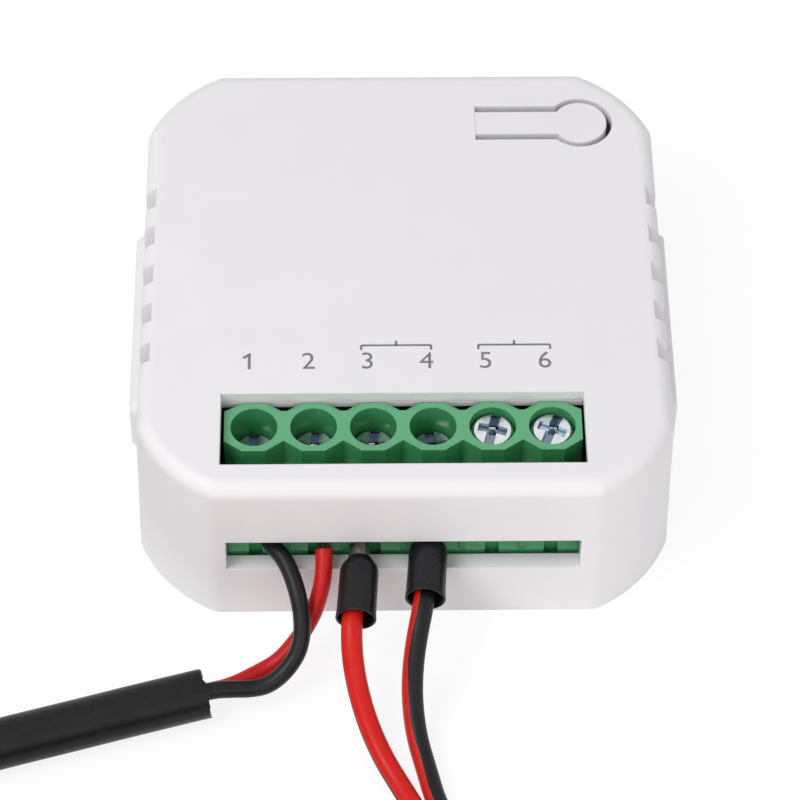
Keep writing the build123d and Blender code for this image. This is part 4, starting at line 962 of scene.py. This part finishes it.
# Current clamp: a split ferrite core in a black housing, with a winding on its back and a jaw
# that swings on a steel pin and snaps shut round the conductor.
clamp_black = moulded(
    "clamp_black", (0.009, 0.009, 0.010), (0.016, 0.016, 0.017), roughness=(0.42, 0.56),
    grain=3000, relief=0.012 * mm, edge=0.2 * mm, specular=0.34)
dress(clamp_black, "ct_base", "ct_jaw")
dress(plain_finish("ground_ferrite", (0.05, 0.05, 0.052), (0.09, 0.09, 0.092), (0.4, 0.6), 1600),
      "ct_core_lower", "ct_core_upper")
dress(plain_finish("enamelled_wire", (0.42, 0.13, 0.04), (0.52, 0.2, 0.07), (0.2, 0.35), 1600, 0.6),
      "ct_winding")
dress(plain_finish("drawn_steel", (0.60, 0.60, 0.60), (0.72, 0.72, 0.72), (0.2, 0.36), 900, 1.0),
      "ct_hinge_pin")


# Floor: a wide sweep of matt white paper under everything. It glows for the camera and in
# reflections, so that it reads as pure white and keeps only a faint shadow where things touch.
floor_reach = 1.2
floor_glow = 1.06
floor_glow_share = 0.8
floor_white, tree, shader = new_material("floor_white")
shader.inputs["Base Color"].default_value = (0.9, 0.9, 0.9, 1)
shader.inputs["Roughness"].default_value = 0.9
shader.inputs["Specular IOR Level"].default_value = 0.1
glow = tree.nodes.new("ShaderNodeEmission")
glow.inputs["Strength"].default_value = floor_glow
seen = tree.nodes.new("ShaderNodeLightPath").outputs
shown = math_node(tree, "MAXIMUM", seen["Is Camera Ray"], seen["Is Glossy Ray"])
both = tree.nodes.new("ShaderNodeMixShader")
tree.links.new(math_node(tree, "MULTIPLY", shown, floor_glow_share), both.inputs[0])
tree.links.new(shader.outputs[0], both.inputs[1])
tree.links.new(glow.outputs[0], both.inputs[2])
output = next(node for node in tree.nodes if node.type == "OUTPUT_MATERIAL")
tree.links.new(both.outputs[0], output.inputs["Surface"])
floor_data = bpy.data.meshes.new("floor")
floor_data.from_pydata([
    (-floor_reach, -floor_reach, 0), (floor_reach, -floor_reach, 0),
    (floor_reach, floor_reach, 0), (-floor_reach, floor_reach, 0)], [], [(0, 1, 2, 3)])
floor_data.materials.append(floor_white)
floor = bpy.data.objects.new("floor", floor_data)
scene.collection.objects.link(floor)

# Light: a white room that surrounds everything, and four soft square lamps that look at the
# middle of the object. The camera and reflections see the room in plain white, while it lights
# the object more gently.
room_light = 0.47
world = bpy.data.worlds.new("room")
world.use_nodes = True
scene.world = world
sky = world.node_tree
sky.nodes.clear()
plain = sky.nodes.new("ShaderNodeBackground")
plain.inputs["Color"].default_value = (1, 1, 1, 1)
plain.inputs["Strength"].default_value = 1
gentle = sky.nodes.new("ShaderNodeBackground")
gentle.inputs["Color"].default_value = (1.0, 0.99, 1.0, 1)
gentle.inputs["Strength"].default_value = room_light
ray = sky.nodes.new("ShaderNodeLightPath").outputs
direct = math_node(sky, "MAXIMUM", ray["Is Camera Ray"], ray["Is Transmission Ray"])
mirrored = math_node(sky, "MAXIMUM", direct, ray["Is Glossy Ray"])
choice = sky.nodes.new("ShaderNodeMixShader")
sky.links.new(mirrored, choice.inputs[0])
sky.links.new(gentle.outputs[0], choice.inputs[1])
sky.links.new(plain.outputs[0], choice.inputs[2])
room = sky.nodes.new("ShaderNodeOutputWorld")
sky.links.new(choice.outputs[0], room.inputs["Surface"])
for name, place, size, watts, tint in (
    ("key", (-0.28, -0.16, 0.50), 0.30, 1.5, (1.0, 0.99, 1.0)),
    ("fill", (0.15, -0.45, 0.35), 0.40, 0.35, (1.0, 1.0, 1.0)),
    ("low", (-0.19, -0.52, 0.13), 0.40, 0.70, (1.0, 0.93, 0.90)),
    ("side", (0.50, -0.08, 0.16), 0.40, 0.15, (1.0, 0.96, 0.94)),
):
    lamp_data = bpy.data.lights.new(name, "AREA")
    lamp_data.shape = "SQUARE"
    lamp_data.size = size
    lamp_data.energy = watts
    lamp_data.color = tint
    lamp = bpy.data.objects.new(name, lamp_data)
    lamp.matrix_world = turned_to(place, Vector(place))
    scene.collection.objects.link(lamp)
